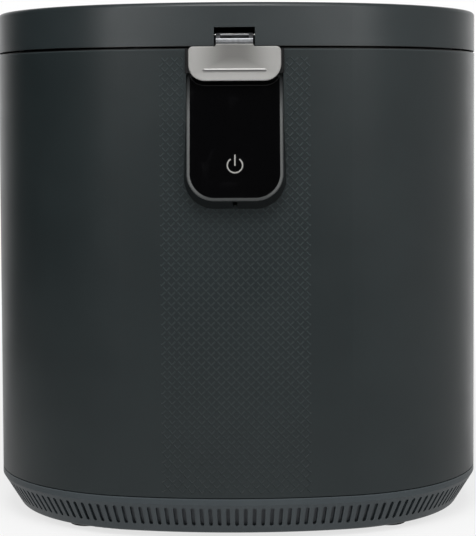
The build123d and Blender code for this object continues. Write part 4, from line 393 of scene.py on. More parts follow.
def charcoal(name):
    """Broken charcoal: dull black with small bright faces."""
    f = Finish(name, (0.02, 0.02, 0.021), 0.7, Specular_IOR_Level=0.6)
    shade = f.parts(f.cells(1.6, "Color"))
    glint = shade[1].ramp(0.8, 0.95)
    f.varies(Base_Color=f.blend(shade[0], (0.008, 0.008, 0.009), (0.045, 0.045, 0.048)),
             Roughness=0.8 - glint * 0.45)
    return f.relief(f.noise(0.5, 3.0), 0.12).material


def circuit_board(name):
    """Green solder mask over copper tracks that run along X and Y, with plated holes."""
    turns_per_metre, jog, width = 1570, 4 * MM, 0.72
    f = Finish(name, (0.02, 0.14, 0.07), 0.35, Coat_Weight=0.4, Coat_Roughness=0.15)
    shift_x = f.parts(f.cells(9.0, "Color", f.vector(f.x * 0.2, f.y, 0.0)))[0]
    shift_y = f.parts(f.cells(9.0, "Color", f.vector(f.x, f.y * 0.2, 0.0)))[1]
    lines_y = ((f.y + shift_x * jog) * turns_per_metre).wave() > width
    lines_x = ((f.x + shift_y * jog) * turns_per_metre).wave() > width
    tracks = (lines_y * (shift_x > 0.35)).or_more(lines_x * (shift_y > 0.6))
    holes = f.cells(4.5) < 0.13
    masked = f.blend(tracks, (0.012, 0.10, 0.05), (0.03, 0.22, 0.10))
    f.varies(Base_Color=f.blend(holes, masked, (0.62, 0.60, 0.55)),
             Metallic=holes * 0.9, Roughness=0.32 + f.noise(3.0) * 0.1)
    return f.relief(tracks, 0.035).material


def wound(name):
    """Enamelled copper wire laid side by side in slots, with bands of lacing."""
    f = Finish(name, (0.55, 0.23, 0.10), 0.3, Metallic=1.0, Coat_Weight=0.6,
               Coat_Roughness=0.12)
    x, y = f.x - MOTOR_AXIS[0], f.y - MOTOR_AXIS[1]
    angle = x.maths("ARCTAN2", y, x)
    strands = (angle * 170 + f.z * 300).wave().size()
    slots = (angle * 12).wave().ramp(-0.9, -0.5)
    wire = f.blend(strands, (0.35, 0.13, 0.05), (0.72, 0.34, 0.16))
    f.varies(Base_Color=f.blend(slots, (0.10, 0.05, 0.03), wire),
             Roughness=0.45 - strands * 0.2)
    return f.relief(strands * slots, 0.25).material


def black_glass(name):
    """Black backed glass with a few faint finger marks in its gloss."""
    f = Finish(name, (0.0025, 0.0025, 0.003), 0.06, IOR=1.45, Coat_Weight=0.3,
               Coat_Roughness=0.03)
    whorls = f.noise(0.5, 2.0, (1.0, 1.0, 0.4), seed=2.0)
    prints = f.noise(7.0, 4.0).ramp(0.52, 0.75) * whorls
    f.varies(Base_Color=f.blend(prints, (0.0012, 0.0012, 0.0014), (0.003, 0.003, 0.0034)),
             Roughness=0.05 + prints * 0.12)
    return f.material


def printed(name):
    """The pale sign printed behind the glass, whose ink thins out at the edge of each stroke."""
    sign_up, ring_radius = 22.6 * MM, 4.68 * MM
    f = Finish(name, (0.4, 0.4, 0.38), 0.45)
    up = panel_places(f)[0] - sign_up
    off_ring = ((f.x * f.x + up * up) ** 0.5 - ring_radius).size()
    off_bar = f.x.size() + (up < -MM) * MM
    stroke = off_ring.or_less(off_bar).ramp(0.32 * MM, 0.48 * MM, 1.0, 0.0)
    grain = f.noise(0.25, 2.0)
    ink = f.blend(grain, (0.215, 0.212, 0.196), (0.28, 0.274, 0.258))
    f.varies(Base_Color=f.blend(stroke, (0.004, 0.004, 0.004), ink),
             Roughness=0.4 + grain * 0.15)
    return f.material


def pull_plate(name, dark, light, rib_colour):
    """Satin steel, blasted fine, with a painted highlight at its ends and foot, darker between, and a
    polished rib.
    """
    plate_front = -141.6 * MM
    f = Finish(name, light, 0.46, Metallic=1.0)
    grain = f.noise(0.35, 3.0)
    lines = f.noise(1.0, 3.0, (0.04, 1.0, 3.0))
    # Painted highlight at the ends and the foot, and painted shade in the middle above the foot.
    ends = f.x.size().ramp(3 * MM, 27 * MM)
    foot = f.z.ramp(293 * MM, 308 * MM, 1.0, 0.0)
    plate_highlight = (ends * 0.8).or_more(foot)
    rib = f.y < plate_front
    satin = f.blend(plate_highlight * 0.85 + grain * 0.1 + lines * 0.05, dark, light)
    f.varies(Base_Color=f.blend(rib, satin, rib_colour),
             Roughness=0.44 + grain * 0.08 - rib * 0.16)
    return f.relief(grain * 0.6 + lines * 0.4, 0.015).material


def gear_stock(name):
    """Natural acetal: milky, waxy and slightly greased."""
    f = Finish(name, (0.72, 0.70, 0.62), 0.38, Subsurface_Weight=0.12, Subsurface_Scale=0.004)
    grease = f.noise(8.0, 4.0).ramp(0.5, 0.75)
    fine = f.noise(0.8, 2.0)
    f.varies(Base_Color=f.blend(grease, (0.74, 0.72, 0.65), (0.58, 0.52, 0.38)),
             Roughness=0.42 - grease * 0.2 + fine * 0.05)
    return f.relief(fine, 0.012).material


def component_case(name):
    """The parts on a board: each block or can has its own dark tone, read from where it stands."""
    f = Finish(name, (0.05, 0.05, 0.055), 0.4)
    tone = f.parts(f.cells(22.0, "Color", f.vector(f.x, f.y, 0.0)))
    fins = (f.y * 2600).wave() * 0.5 + 0.5
    can = f.blend(tone[1].ramp(0.4, 0.6), (0.16, 0.12, 0.03), (0.02, 0.05, 0.12))
    f.varies(Base_Color=f.blend(tone[0].ramp(0.45, 0.55), (0.018, 0.019, 0.022), can),
             Roughness=0.3 + fins * 0.2)
    return f.relief(fins, 0.05).material


# A finish for each material slot of the record. Most take the two colours that their pattern
# mixes, and then a roughness.
CASE_DARK, CASE_LIGHT = (0.0092, 0.0142, 0.0153), (0.0120, 0.0178, 0.0190)
# Painted shade in the seam between the case and the lid, on the edges of both.
SEAM_PAINTED_SHADE = (0.0015, 0.0018, 0.002)
# Painted highlights along the top edges of the case and of the base ring, just under their seams.
CASE_EDGE_PAINTED_HIGHLIGHT, BASE_EDGE_PAINTED_HIGHLIGHT = (0.030, 0.039, 0.042), (0.046, 0.058, 0.064)
FINISHES = {
    "case_plastic": moulded("case_charcoal", CASE_DARK, CASE_LIGHT, 0.37,
                            bands=((312.2, 313.0, SEAM_PAINTED_SHADE), (311.6, 312.2, CASE_EDGE_PAINTED_HIGHLIGHT))),
    "base_plastic": moulded("base_charcoal", (0.030, 0.039, 0.044), (0.038, 0.048, 0.053), 0.42,
                            bands=((28.3, 28.9, BASE_EDGE_PAINTED_HIGHLIGHT),)),
    "inner_plastic": flowed("inner_satin", (0.035, 0.037, 0.039), (0.052, 0.055, 0.058), 0.42),
    "black_plastic": moulded("black_satin", (0.0025, 0.0025, 0.003), (0.006, 0.006, 0.0065), 0.4),
    "panel_glass": black_glass("panel_black_glass"),
    "mark_white": printed("sign_print"),
    "steel_brushed": pull_plate("plate_satin_steel", (0.27, 0.266, 0.254), (0.76, 0.752, 0.73),
                                (0.5, 0.495, 0.49)),
    "steel_bright": brushed("bright_steel", (0.86, 0.85, 0.83), (0.97, 0.96, 0.95), 0.5,
                            (0.1, 0.6, 1.0)),
    "zinc_cast": cast("cast_zinc", (0.30, 0.31, 0.32), (0.46, 0.47, 0.49), 0.42),
    "sheet_steel": galvanised("plated_sheet", (0.38, 0.39, 0.41), (0.56, 0.57, 0.60), 0.34),
    "aluminium": turned("spun_aluminium", (0.50, 0.51, 0.52), (0.68, 0.69, 0.70), 0.36),
    "coated_aluminium": speckled_coat("pot_coating", (0.030, 0.031, 0.033), (0.22, 0.22, 0.23),
                                      0.32),
    "coated_steel": speckled_coat("grinder_coating", (0.045, 0.046, 0.048), (0.30, 0.30, 0.31),
                                  0.36, metal=0.5),
    "brass": turned("turned_brass", (0.50, 0.34, 0.12), (0.72, 0.52, 0.22), 0.3, tarnish=0.5),
    "rubber": rubbery("black_rubber", (0.010, 0.010, 0.010), (0.028, 0.028, 0.029), 0.85,
                      rib_pitch=1.2),
    "gasket_rubber": rubbery("grey_silicone", (0.012, 0.012, 0.013), (0.026, 0.026, 0.027), 0.62),
    "felt": felted("mineral_felt", (0.36, 0.33, 0.28), (0.66, 0.63, 0.56)),
    "carbon": charcoal("filter_charcoal"),
    "gear_plastic": gear_stock("acetal"),
    "board_green": circuit_board("solder_mask"),
    "copper": wound("motor_winding"),
}
# The nodes that have a finish of their own.
SPECIAL = {
    # The lid's colours are set lighter than the case's, painted light for the brighter sheen of the
    # lid.
    "lid_shell": moulded("lid_charcoal", (0.0122, 0.0176, 0.0190), (0.0156, 0.0218, 0.0235), 0.39,
                         bands=((313.9, 314.3, SEAM_PAINTED_SHADE),), lean=0.10),
    "panel_housing": bezel("bezel_charcoal", (0.007, 0.009, 0.0098), (0.024, 0.027, 0.027),
                           (0.070, 0.073, 0.072), 0.34),
    "board_parts": component_case("board_component"),
}
# The finishes of the lattice and of the dust screen, which aren't CAD nodes.
RIB_FINISH = rib_plastic("rib_charcoal", CASE_DARK, CASE_LIGHT, 1.75, 0.38)
SCREEN_FINISH = flowed("screen_grey", (0.042, 0.047, 0.053), (0.062, 0.069, 0.078), 0.6)
SLOT_OF = {row["node"]: row["material_slot"] for row in frame["record"]["subparts"]}
for node, part in NODES.items():
    for holder in part.material_slots:
        holder.material = SPECIAL.get(node, FINISHES[SLOT_OF[node]])


# ---- Shapes ----

class Pattern(Writer):
    """A Geometry Nodes tree with named sizes. Its result is taken off as one plain mesh."""

    def __init__(self, name, **sizes):
        super().__init__(bpy.data.node_groups.new(name, "GeometryNodeTree"))
        self.name = name
        face = self.tree.interface
        face.new_socket("Carrier", in_out="INPUT", socket_type="NodeSocketGeometry")
        face.new_socket("Geometry", in_out="OUTPUT", socket_type="NodeSocketGeometry")
        self.values = {}
        for size, value in sizes.items():
            kind = "NodeSocketInt" if isinstance(value, int) else "NodeSocketFloat"
            self.values[face.new_socket(size, in_out="INPUT", socket_type=kind).identifier] = value
        self.entry = self.tree.nodes.new("NodeGroupInput")

    def size(self, name):
        """One of the tree's named sizes, or its carrier."""
        return Value(self, self.find(self.entry.outputs, name))

    def index(self):
        return self.add("GeometryNodeInputIndex")

    def position(self):
        return self.parts(self.add("GeometryNodeInputPosition"))

    def box(self, size, place=(0.0, 0.0, 0.0)):
        return self.moved(self.add("GeometryNodeMeshCube", None, {"Size": size}, "Mesh"), place)

    def moved(self, geometry, place):
        return self.add("GeometryNodeTransform", None,
                        {"Geometry": geometry, "Translation": place})

    def reshaped(self, geometry, x, y, z):
        """The geometry with its points put at x, y, z."""
        return self.add("GeometryNodeSetPosition", None,
                        {"Geometry": geometry, "Position": self.vector(x, y, z)})

    def joined(self, *shapes):
        both = self.tree.nodes.new("GeometryNodeJoinGeometry")
        for shape in shapes:
            self.tree.links.new(shape.socket, both.inputs[0])
        return Value(self, both.outputs[0])

    def cut(self, shape, cutter):
        return self.add("GeometryNodeMeshBoolean", {"operation": "DIFFERENCE", "solver": "EXACT"},
                        {"Mesh 1": shape, "Mesh 2": cutter}, "Mesh")

    def make(self, geometry, material, carrier=None):
        """Ends the tree, runs it, and returns its result as an object with a plain mesh."""
        real = self.add("GeometryNodeRealizeInstances", None, {"Geometry": geometry})
        final = self.add("GeometryNodeSetMaterial", None, {"Geometry": real, "Material": material})
        self.tree.links.new(final.socket, self.tree.nodes.new("NodeGroupOutput").inputs[0])
        maker = shown(self.name + "_maker", carrier or bpy.data.meshes.new(self.name))
        modifier = maker.modifiers.new("pattern", "NODES")
        modifier.node_group = self.tree
        for identifier, value in self.values.items():
            modifier[identifier] = value
        bpy.context.view_layer.update()
        graph = bpy.context.evaluated_depsgraph_get()
        mesh = bpy.data.meshes.new_from_object(maker.evaluated_get(graph))
        bpy.data.objects.remove(maker)
        return shown(self.name, mesh)


def shown(name, mesh):
    thing = bpy.data.objects.new(name, mesh)
    bpy.context.scene.collection.objects.link(thing)
    return thing


def settle(piece, body, slot, *stands_for):
    """Makes a finished piece ride on its body and stand for CAD nodes. The slot is not used."""
    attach(piece, body)
    if stands_for:
        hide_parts(*stands_for)


def solid(name, vertices, faces, material, smooth=True):
    """A closed mesh whose faces point outwards."""
    mesh = bpy.data.meshes.new(name)
    mesh.from_pydata(vertices, [], faces)
    work = bmesh.new()
    work.from_mesh(mesh)
    bmesh.ops.recalc_face_normals(work, faces=work.faces)
    work.to_mesh(mesh)
    work.free()
    mesh.materials.append(material)
    if smooth:
        mesh.shade_smooth()
    return shown(name, mesh)


def lumps(node):
    """The points of each separate solid in a CAD node, in the order of its mesh.

    The mesh's loose triangles are joined first.
    """
    work = bmesh.new()
    work.from_mesh(NODES[node].data)
    bmesh.ops.remove_doubles(work, verts=work.verts, dist=1e-6)
    reached, found = set(), []
    for start in work.verts:
        if start in reached:
            continue
        reached.add(start)
        edge, lump = [start], []
        while edge:
            vert = edge.pop()
            lump.append(vert.co.copy())
            near = [e.other_vert(vert) for e in vert.link_edges]
            edge += [v for v in near if v not in reached]
            reached.update(near)
        found.append(lump)
    work.free()
    return found


# The plan outline of the case: a front, a corner and a side arc in each quarter, all tangent.
HALF_WIDTH, HALF_DEPTH = 165.5 * MM, 138 * MM
FRONT_ARC, SIDE_ARC, CORNER_ARC = 334 * MM, 338 * MM, 117 * MM


def outline_points(step):
    """Points on the outer wall, anticlockwise, each with its outward direction.

    The corner arc touches the other two from inside, so its centre lies their radii less its own
    from their centres.
    """
    front, side = Vector((0.0, HALF_DEPTH - FRONT_ARC)), Vector((HALF_WIDTH - SIDE_ARC, 0.0))
    line = side - front
    reach, other = FRONT_ARC - CORNER_ARC, SIDE_ARC - CORNER_ARC
    along = (line.length_squared + reach**2 - other**2) / (2 * line.length)
    off = math.sqrt(reach**2 - along**2)
    way = line.normalized()
    corner = front + way * along + Vector((-way.y, way.x)) * off
    if corner.x < 0:
        corner = front + way * along - Vector((-way.y, way.x)) * off
    first = math.atan2(*(corner - side).yx)
    second = math.atan2(*(corner - front).yx)
    quarter = []
    for centre, radius, start, end in ((side, SIDE_ARC, 0.0, first),
                                       (corner, CORNER_ARC, first, second),
                                       (front, FRONT_ARC, second, math.pi / 2)):
        count = max(2, round(radius * (end - start) / step))
        for i in range(count):
            turn = start + (end - start) * i / count
            out = Vector((math.cos(turn), math.sin(turn)))
            quarter.append((centre + out * radius, out))
    quarter.append((Vector((0.0, HALF_DEPTH)), Vector((0.0, 1.0))))
    half = quarter + [(Vector((-p.x, p.y)), Vector((-n.x, n.y))) for p, n in quarter[-2::-1]]
    return half + [(-p, -n) for p, n in half[1:-1]]


def inset_point(place, out, inset, height):
    """The point at a height, an inset in millimetres inside a point of the outline."""
    return (place.x - out.x * inset * MM, place.y - out.y * inset * MM, height)


def ring_faces(count, size):
    """The faces of a closed ring of so many sections, each with size points round it."""
    faces = []
    for i in range(count):
        here, there = i * size, (i + 1) % count * size
        for j in range(size):
            k = (j + 1) % size
            faces.append((here + j, there + j, there + k, here + k))
    return faces


# ---- The diamond lattice pressed into the front ----

# The lattice's places on the front. It stops at the panel, which is round at its foot, and at
# the wider slot in the body that the panel's top goes into.
LATTICE_HALF = 47.5 * MM
LATTICE_TOP_ROW = 304.5 * MM
SLOT_HALF, SLOT_BOTTOM = 32.2 * MM, 268.0 * MM
PANEL_HALF, PANEL_BOTTOM, PANEL_ROUND = 31.0 * MM, 214.5 * MM, 18.5 * MM


def lattice_rib(p):
    """One low V of two arms that meet at the origin."""
    rib, arm = p.size("Rib_Half"), p.size("Pitch") * 0.5 - p.size("Gap")
    line = p.add("GeometryNodeMeshLine", None, {"Count": 3}, "Mesh")
    step = p.index() - 1
    path = p.add("GeometryNodeMeshToCurve", None,
                 {"Mesh": p.reshaped(line, step * arm, 0.0, step.size() * arm)})
    section = p.add("GeometryNodeCurvePrimitiveCircle", None, {"Resolution": 4, "Radius": rib})
    tube = p.add("GeometryNodeCurveToMesh", None,
                 {"Curve": path, "Profile Curve": section, "Fill Caps": True})
    x, y, z = p.position()
    return p.reshaped(tube, x, y * p.size("Rise") / rib, z)


def lattice_points(p):
    """Where the ribs stand: rows half a step along in turn, and none under the panel's two
    round corners.
    """
    pitch, columns, spot = p.size("Pitch"), p.size("Columns"), p.index()
    row = (spot / columns).rounded_down()
    shift = row % 2.0 * 0.5
    across = (spot % columns - (columns - 1) * 0.5 + 0.5 - shift) * pitch
    height = p.size("Top_Row") - row * pitch * 0.5
    points = p.add("GeometryNodePoints", None,
                   {"Count": columns * p.size("Rows"), "Position": p.vector(across, 0.0, height)})
    aside = across.size() - (PANEL_HALF - PANEL_ROUND)
    above = height - (PANEL_BOTTOM + PANEL_ROUND)
    covered = (aside * aside + above * above) ** 0.5 < PANEL_ROUND - 2 * MM
    return p.add("GeometryNodeDeleteGeometry", {"domain": "POINT"},
                 {"Geometry": points, "Selection": covered})


def lattice_cutters(p):
    """Boxes over all that the lattice leaves free."""
    deep, tall, lap = 100 * MM, 600 * MM, MM
    round_z, straight = PANEL_BOTTOM + PANEL_ROUND, PANEL_HALF - PANEL_ROUND
    return [p.box((tall, deep, tall), (-LATTICE_HALF - tall / 2, 0.0, tall / 3)),
            p.box((tall, deep, tall), (LATTICE_HALF + tall / 2, 0.0, tall / 3)),
            p.box((2 * SLOT_HALF, deep, deep), (0.0, 0.0, SLOT_BOTTOM + deep / 2)),
            p.box((2 * PANEL_HALF, deep, SLOT_BOTTOM - round_z + lap),
                  (0.0, 0.0, (SLOT_BOTTOM + round_z + lap) / 2)),
            p.box((2 * straight, deep, PANEL_ROUND + lap),
                  (0.0, 0.0, PANEL_BOTTOM + PANEL_ROUND / 2))]


def front_lattice():
    """The ribs laid out flat, cut, and bent onto the front arc, lower towards the foot."""
    p = Pattern("front_lattice", Columns=16, Rows=88, Pitch=6.25 * MM, Gap=0.85 * MM,
                Rib_Half=0.55 * MM, Rise=0.14 * MM, Top_Row=LATTICE_TOP_ROW,
                Radius=FRONT_ARC, Centre=FRONT_ARC - HALF_DEPTH)
    rib = lattice_rib(p)
    field = p.add("GeometryNodeInstanceOnPoints", None,
                  {"Points": lattice_points(p), "Instance": rib})
    shape = p.add("GeometryNodeRealizeInstances", None, {"Geometry": field})
    for cutter in lattice_cutters(p):
        shape = p.cut(shape, cutter)
    x, y, z = p.position()
    rise = 0 - y * z.ramp(20 * MM, 200 * MM, 0.5, 1.0)
    reach, turn = p.size("Radius") + rise, x / p.size("Radius")
    bent = p.reshaped(shape, reach * turn.wave(), p.size("Centre") - reach * turn.cosine(), z)
    settle(p.make(bent, RIB_FINISH), "machine", "case_plastic")


# ---- Screws ----

def screw_places(name, node):
    """A mesh with a point at the top of each screw's head, and which way the screw points.

    A screw's head is told by the points that lie further off its axis than the shank reaches.
    """
    beside_shank = 2.5 * MM
    heads, flips = [], []
    for lump in lumps(node):
        low = min(v.z for v in lump)
        high = max(v.z for v in lump)
        x = (min(v.x for v in lump) + max(v.x for v in lump)) / 2
        y = (min(v.y for v in lump) + max(v.y for v in lump)) / 2
        wide = [v.z for v in lump if math.hypot(v.x - x, v.y - y) > beside_shank]
        head_high = sum(wide) / len(wide) > (low + high) / 2
        heads.append((x, y, high if head_high else low))
        flips.append(math.pi if head_high else 0.0)
    carrier = bpy.data.meshes.new(name + "_places")
    carrier.from_pydata(heads, [], [])
    carrier.attributes.new("flip", "FLOAT", "POINT").data.foreach_set("value", flips)
    return carrier


def screw_shape(p):
    """A pan-head screw, its head's top at the origin: domed, cross-recessed and threaded."""
    radius, height = p.size("Head_Radius"), p.size("Head_Height")
    shank, length = p.size("Shank_Radius"), p.size("Length")
    dome = p.add("GeometryNodeMeshCone", None,
                 {"Vertices": 20, "Side Segments": 1, "Radius Top": radius,
                  "Radius Bottom": radius * 0.72, "Depth": height * 0.4}, "Mesh")
    skirt = p.moved(p.add("GeometryNodeMeshCylinder", None,
                          {"Vertices": 20, "Radius": radius, "Depth": height * 0.6}, "Mesh"),
                    p.vector(0.0, 0.0, height * 0.7))
    slot_depth = p.size("Recess_Width") * 1.3
    slots = [p.box(p.vector(*sides, slot_depth * 2))
             for sides in ((p.size("Recess_Length"), p.size("Recess_Width")),
                           (p.size("Recess_Width"), p.size("Recess_Length")))]
    head = dome
    for slot in slots:
        head = p.cut(head, slot)
    core = p.moved(p.add("GeometryNodeMeshCone", None,
                         {"Vertices": 12, "Side Segments": 1, "Radius Top": shank * 0.6,
                          "Radius Bottom": shank, "Depth": length}, "Mesh"),
                   p.vector(0.0, 0.0, height))
    coil = p.add("GeometryNodeCurveSpiral", None,
                 {"Resolution": 9, "Rotations": p.size("Turns"), "Start Radius": shank,
                  "End Radius": shank * 0.75, "Height": length * 0.9})
    ridge = p.add("GeometryNodeCurvePrimitiveCircle", None, {"Resolution": 3, "Radius": 0.22 * MM})
    thread = p.moved(p.add("GeometryNodeCurveToMesh", None,
                           {"Curve": coil, "Profile Curve": ridge, "Fill Caps": True}),
                     p.vector(0.0, 0.0, height + length * 0.04))
    return p.joined(head, skirt, core, thread)


def screws(name, node, body, material):
    """Screws in place of a CAD node's, one at each, turned about their axes at random."""
    p = Pattern(name, Head_Radius=3.2 * MM, Head_Height=1.6 * MM, Shank_Radius=1.35 * MM,
                Length=9.0 * MM, Recess_Width=0.85 * MM, Recess_Length=3.3 * MM, Turns=11.0)
    whole = screw_shape(p)
    flip = p.add("GeometryNodeInputNamedAttribute", {"data_type": "FLOAT"}, {"Name": "flip"})
    twist = p.add("FunctionNodeRandomValue", {"data_type": "FLOAT"},
                  {"Min_001": 0.0, "Max_001": 1.57, "ID": p.index(), "Seed": 7}, "Value_001")
    points = p.add("GeometryNodeMeshToPoints", None, {"Mesh": p.size("Carrier")})
    placed = p.add("GeometryNodeInstanceOnPoints", None,
                   {"Points": points, "Instance": whole, "Rotation": p.vector(flip, 0.0, twist)})
    settle(p.make(placed, material, screw_places(name, node)), body, "steel_bright", node)


# ---- Soft and loose pieces ----

def charcoal_fill():
    """Loose granules packed round the core of the filter's charcoal."""
    low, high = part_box("carbon_pack")
    margin = Vector((2.3 * MM,) * 3)
    size, middle = high - low - 2 * margin, (low + high) / 2
    p = Pattern("charcoal_fill", Grain=2.0 * MM, Spacing=2.9 * MM)
    core = p.box(tuple(size), tuple(middle))
    points = p.add("GeometryNodeDistributePointsOnFaces", {"distribute_method": "POISSON"},
                   {"Mesh": core, "Distance Min": p.size("Spacing"), "Density Max": 400000.0,
                    "Seed": 5}, "Points")
    grain = p.add("GeometryNodeMeshIcoSphere", None,
                  {"Radius": p.size("Grain"), "Subdivisions": 1}, "Mesh")
    turn = p.add("FunctionNodeRandomValue", {"data_type": "FLOAT_VECTOR"},
                 {"Min": (0.0, 0.0, 0.0), "Max": (6.28, 6.28, 6.28), "Seed": 6}, "Value")
    swell = p.add("FunctionNodeRandomValue", {"data_type": "FLOAT_VECTOR"},
                  {"Min": (0.6, 0.65, 0.6), "Max": (1.1, 1.0, 1.1), "Seed": 8}, "Value")
    grains = p.add("GeometryNodeInstanceOnPoints", None,
                   {"Points": points, "Instance": grain, "Rotation": turn, "Scale": swell})
    settle(p.make(p.joined(core, grains), FINISHES["carbon"]), "filter_drawer", "carbon",
           "carbon_pack")


# The angle in radians at which the jacket's outer end lies, and that by which it laps over.
JACKET_START, JACKET_LAP = 2.4, 0.16


def felt_waves(turn, height):
    """How uneven the felt is at an angle and a height, from about -0.6 to 0.6."""
    return (0.22 * math.sin(7 * turn + height * 40) + 0.18 * math.sin(19 * turn - height * 90)
            + 0.2 * math.sin(11 * turn) * math.sin(height * 160))


def felt_jacket():
    """Felt wrapped once round the well, a little uneven, with a lapped end and soft edges.

    A drop is how far below the CAD surface the felt lies, in mm.
    """
    low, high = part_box("insulation_jacket")
    middle, outer = (low + high) / 2, (high.x - low.x) / 2
    inside = outer - 2.4 * MM
    plain_drop, lap_rise, unevenness, least_drop = 0.95, 0.7, 0.4, 0.02
    lap_step, edge_drops = 0.012, {0: 0.5, 1: 0.12}
    around, rows = 300, 44
    vertices, faces = [], []
    for i in range(around):
        turn = 2 * math.pi * i / around
        lapped = 1.0 if turn < JACKET_LAP else max(0.0, 1 - (turn - JACKET_LAP) / lap_step)
        way = Vector((math.cos(turn + JACKET_START), math.sin(turn + JACKET_START), 0.0))
        for j in range(rows):
            height = low.z + (high.z - low.z) * j / (rows - 1)
            drop = plain_drop - lap_rise * lapped + unevenness * felt_waves(turn, height)
            drop += edge_drops.get(min(j, rows - 1 - j), 0.0)
            point = middle + way * (outer - max(least_drop, drop) * MM)
            vertices.append((point.x, point.y, height))
    inner = len(vertices)
    for i in range(around):
        turn = 2 * math.pi * i / around + JACKET_START
        x, y = middle.x + inside * math.cos(turn), middle.y + inside * math.sin(turn)
        vertices += [(x, y, low.z), (x, y, high.z)]
    for i in range(around):
        k = (i + 1) % around
        for j in range(rows - 1):
            faces.append((i * rows + j, k * rows + j, k * rows + j + 1, i * rows + j + 1))
        a, b = inner + 2 * i, inner + 2 * k
        faces.append((a, a + 1, b + 1, b))
        faces.append((a, b, k * rows, i * rows))
        faces.append((a + 1, i * rows + rows - 1, k * rows + rows - 1, b + 1))
    wrap = solid("felt_jacket", vertices, faces, FINISHES["felt"])
    settle(wrap, "machine", "felt", "insulation_jacket")


def jacket_stitches():
    """A zigzag of 32 stitches up the jacket's lapped end, half sunk into the felt."""
    low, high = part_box("insulation_jacket")
    middle, outer = (low + high) / 2, (high.x - low.x) / 2
    p = Pattern("jacket_stitches", Stitch=3.2 * MM, Thread=0.32 * MM)
    seam = JACKET_START + JACKET_LAP * 0.6
    reach, end_gap = outer - 0.42 * MM, 4 * MM
    x, y = middle.x + reach * math.cos(seam), middle.y + reach * math.sin(seam)
    line = p.add("GeometryNodeMeshLine", {"mode": "END_POINTS"},
                 {"Count": 32, "Start Location": (x, y, low.z + end_gap),
                  "Offset": (x, y, high.z - end_gap)}, "Mesh")
    stitch = p.add("GeometryNodeMeshCylinder", None,
                   {"Vertices": 6, "Radius": p.size("Thread"), "Depth": p.size("Stitch")}, "Mesh")
    lean = (p.index() % 2.0 - 0.5) * 1.3
    sewn = p.add("GeometryNodeInstanceOnPoints", None,
                 {"Points": p.add("GeometryNodeMeshToPoints", None, {"Mesh": line}),
                  "Instance": stitch,
                  "Rotation": p.vector(lean * math.cos(seam), lean * math.sin(seam), 0.0)})
    settle(p.make(sewn, FINISHES["felt"]), "machine", "felt")


def lid_seal():
    """The silicone ring under the lid: a ribbed foot, a waist and a lip that tapers down.

    Half of its section is a list of insets from the outline in mm, with shares of its height.
    The other half mirrors it about the middle of the ring's width.
    """
    low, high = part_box("lid_gasket")
    middle_inset = 16.5
    half = [(14.0, 1.0), (14.0, 0.72), (14.7, 0.66), (14.7, 0.58), (14.0, 0.52), (14.0, 0.36),
            (14.35, 0.27), (15.0, 0.2), (15.4, 0.1), (16.0, 0.0)]
    section = half + [(2 * middle_inset - inset, share) for inset, share in half[::-1]]
    points = outline_points(4 * MM)
    vertices = [inset_point(place, out, inset, low.z + (high.z - low.z) * share)
                for place, out in points for inset, share in section]
    faces = ring_faces(len(points), len(section))
    ring = solid("lid_seal", vertices, faces, FINISHES["gasket_rubber"])
    settle(ring, "lid", "gasket_rubber", "lid_gasket")


def dust_screen():
    """A thin grey screen behind the vent slots, close against the inside of the base ring.

    The ring draws in by its taper from its lip down to its foot, and the screen with it. The
    heights and depths are in millimetres, and a depth is measured from the ring's outer face.
    """
    ring_foot, ring_lip, taper = 4.0, 25.0, 13.0
    low, high = 9.7, 22.9
    front, back = 2.6, 3.0
    points = outline_points(5 * MM)
    vertices = []
    for place, out in points:
        for height, depth in ((low, front), (high, front), (high, back), (low, back)):
            inset = taper * (ring_lip - height) / (ring_lip - ring_foot) + depth
            vertices.append(inset_point(place, out, inset, height * MM))
    screen = solid("dust_screen", vertices, ring_faces(len(points), 4), SCREEN_FINISH, smooth=False)
    settle(screen, "machine", "inner_plastic")


front_lattice()
dust_screen()
screws("case_cross_screws", "case_screws", "machine", FINISHES["steel_bright"])
screws("lid_cross_screws", "lid_screws", "lid", FINISHES["steel_bright"])
charcoal_fill()
felt_jacket()
jacket_stitches()
lid_seal()


# ---- Studio ----

WHITE = (1.0, 1.0, 1.0, 1.0)
LIT_POINT = (0.0, 0.0, 0.17)
# Each lamp's place, width and height in metres, and its power in watts. All face the lit point.
LAMPS = {
    "right_softbox": ((1.05, -1.65, 1.05), 0.9, 1.0, 9.8),
    "left_softbox": ((-1.0, -1.67, 1.05), 0.6, 1.0, 9.2),
    "top_softbox": ((0.05, -0.6, 1.9), 1.3, 1.0, 5.0),
    "front_softbox": ((0.0, -1.55, 1.75), 0.9, 0.7, 22.0),
}
# Where the photograph was taken from.
EYE = (10.6 * MM, -1130 * MM, 270 * MM)


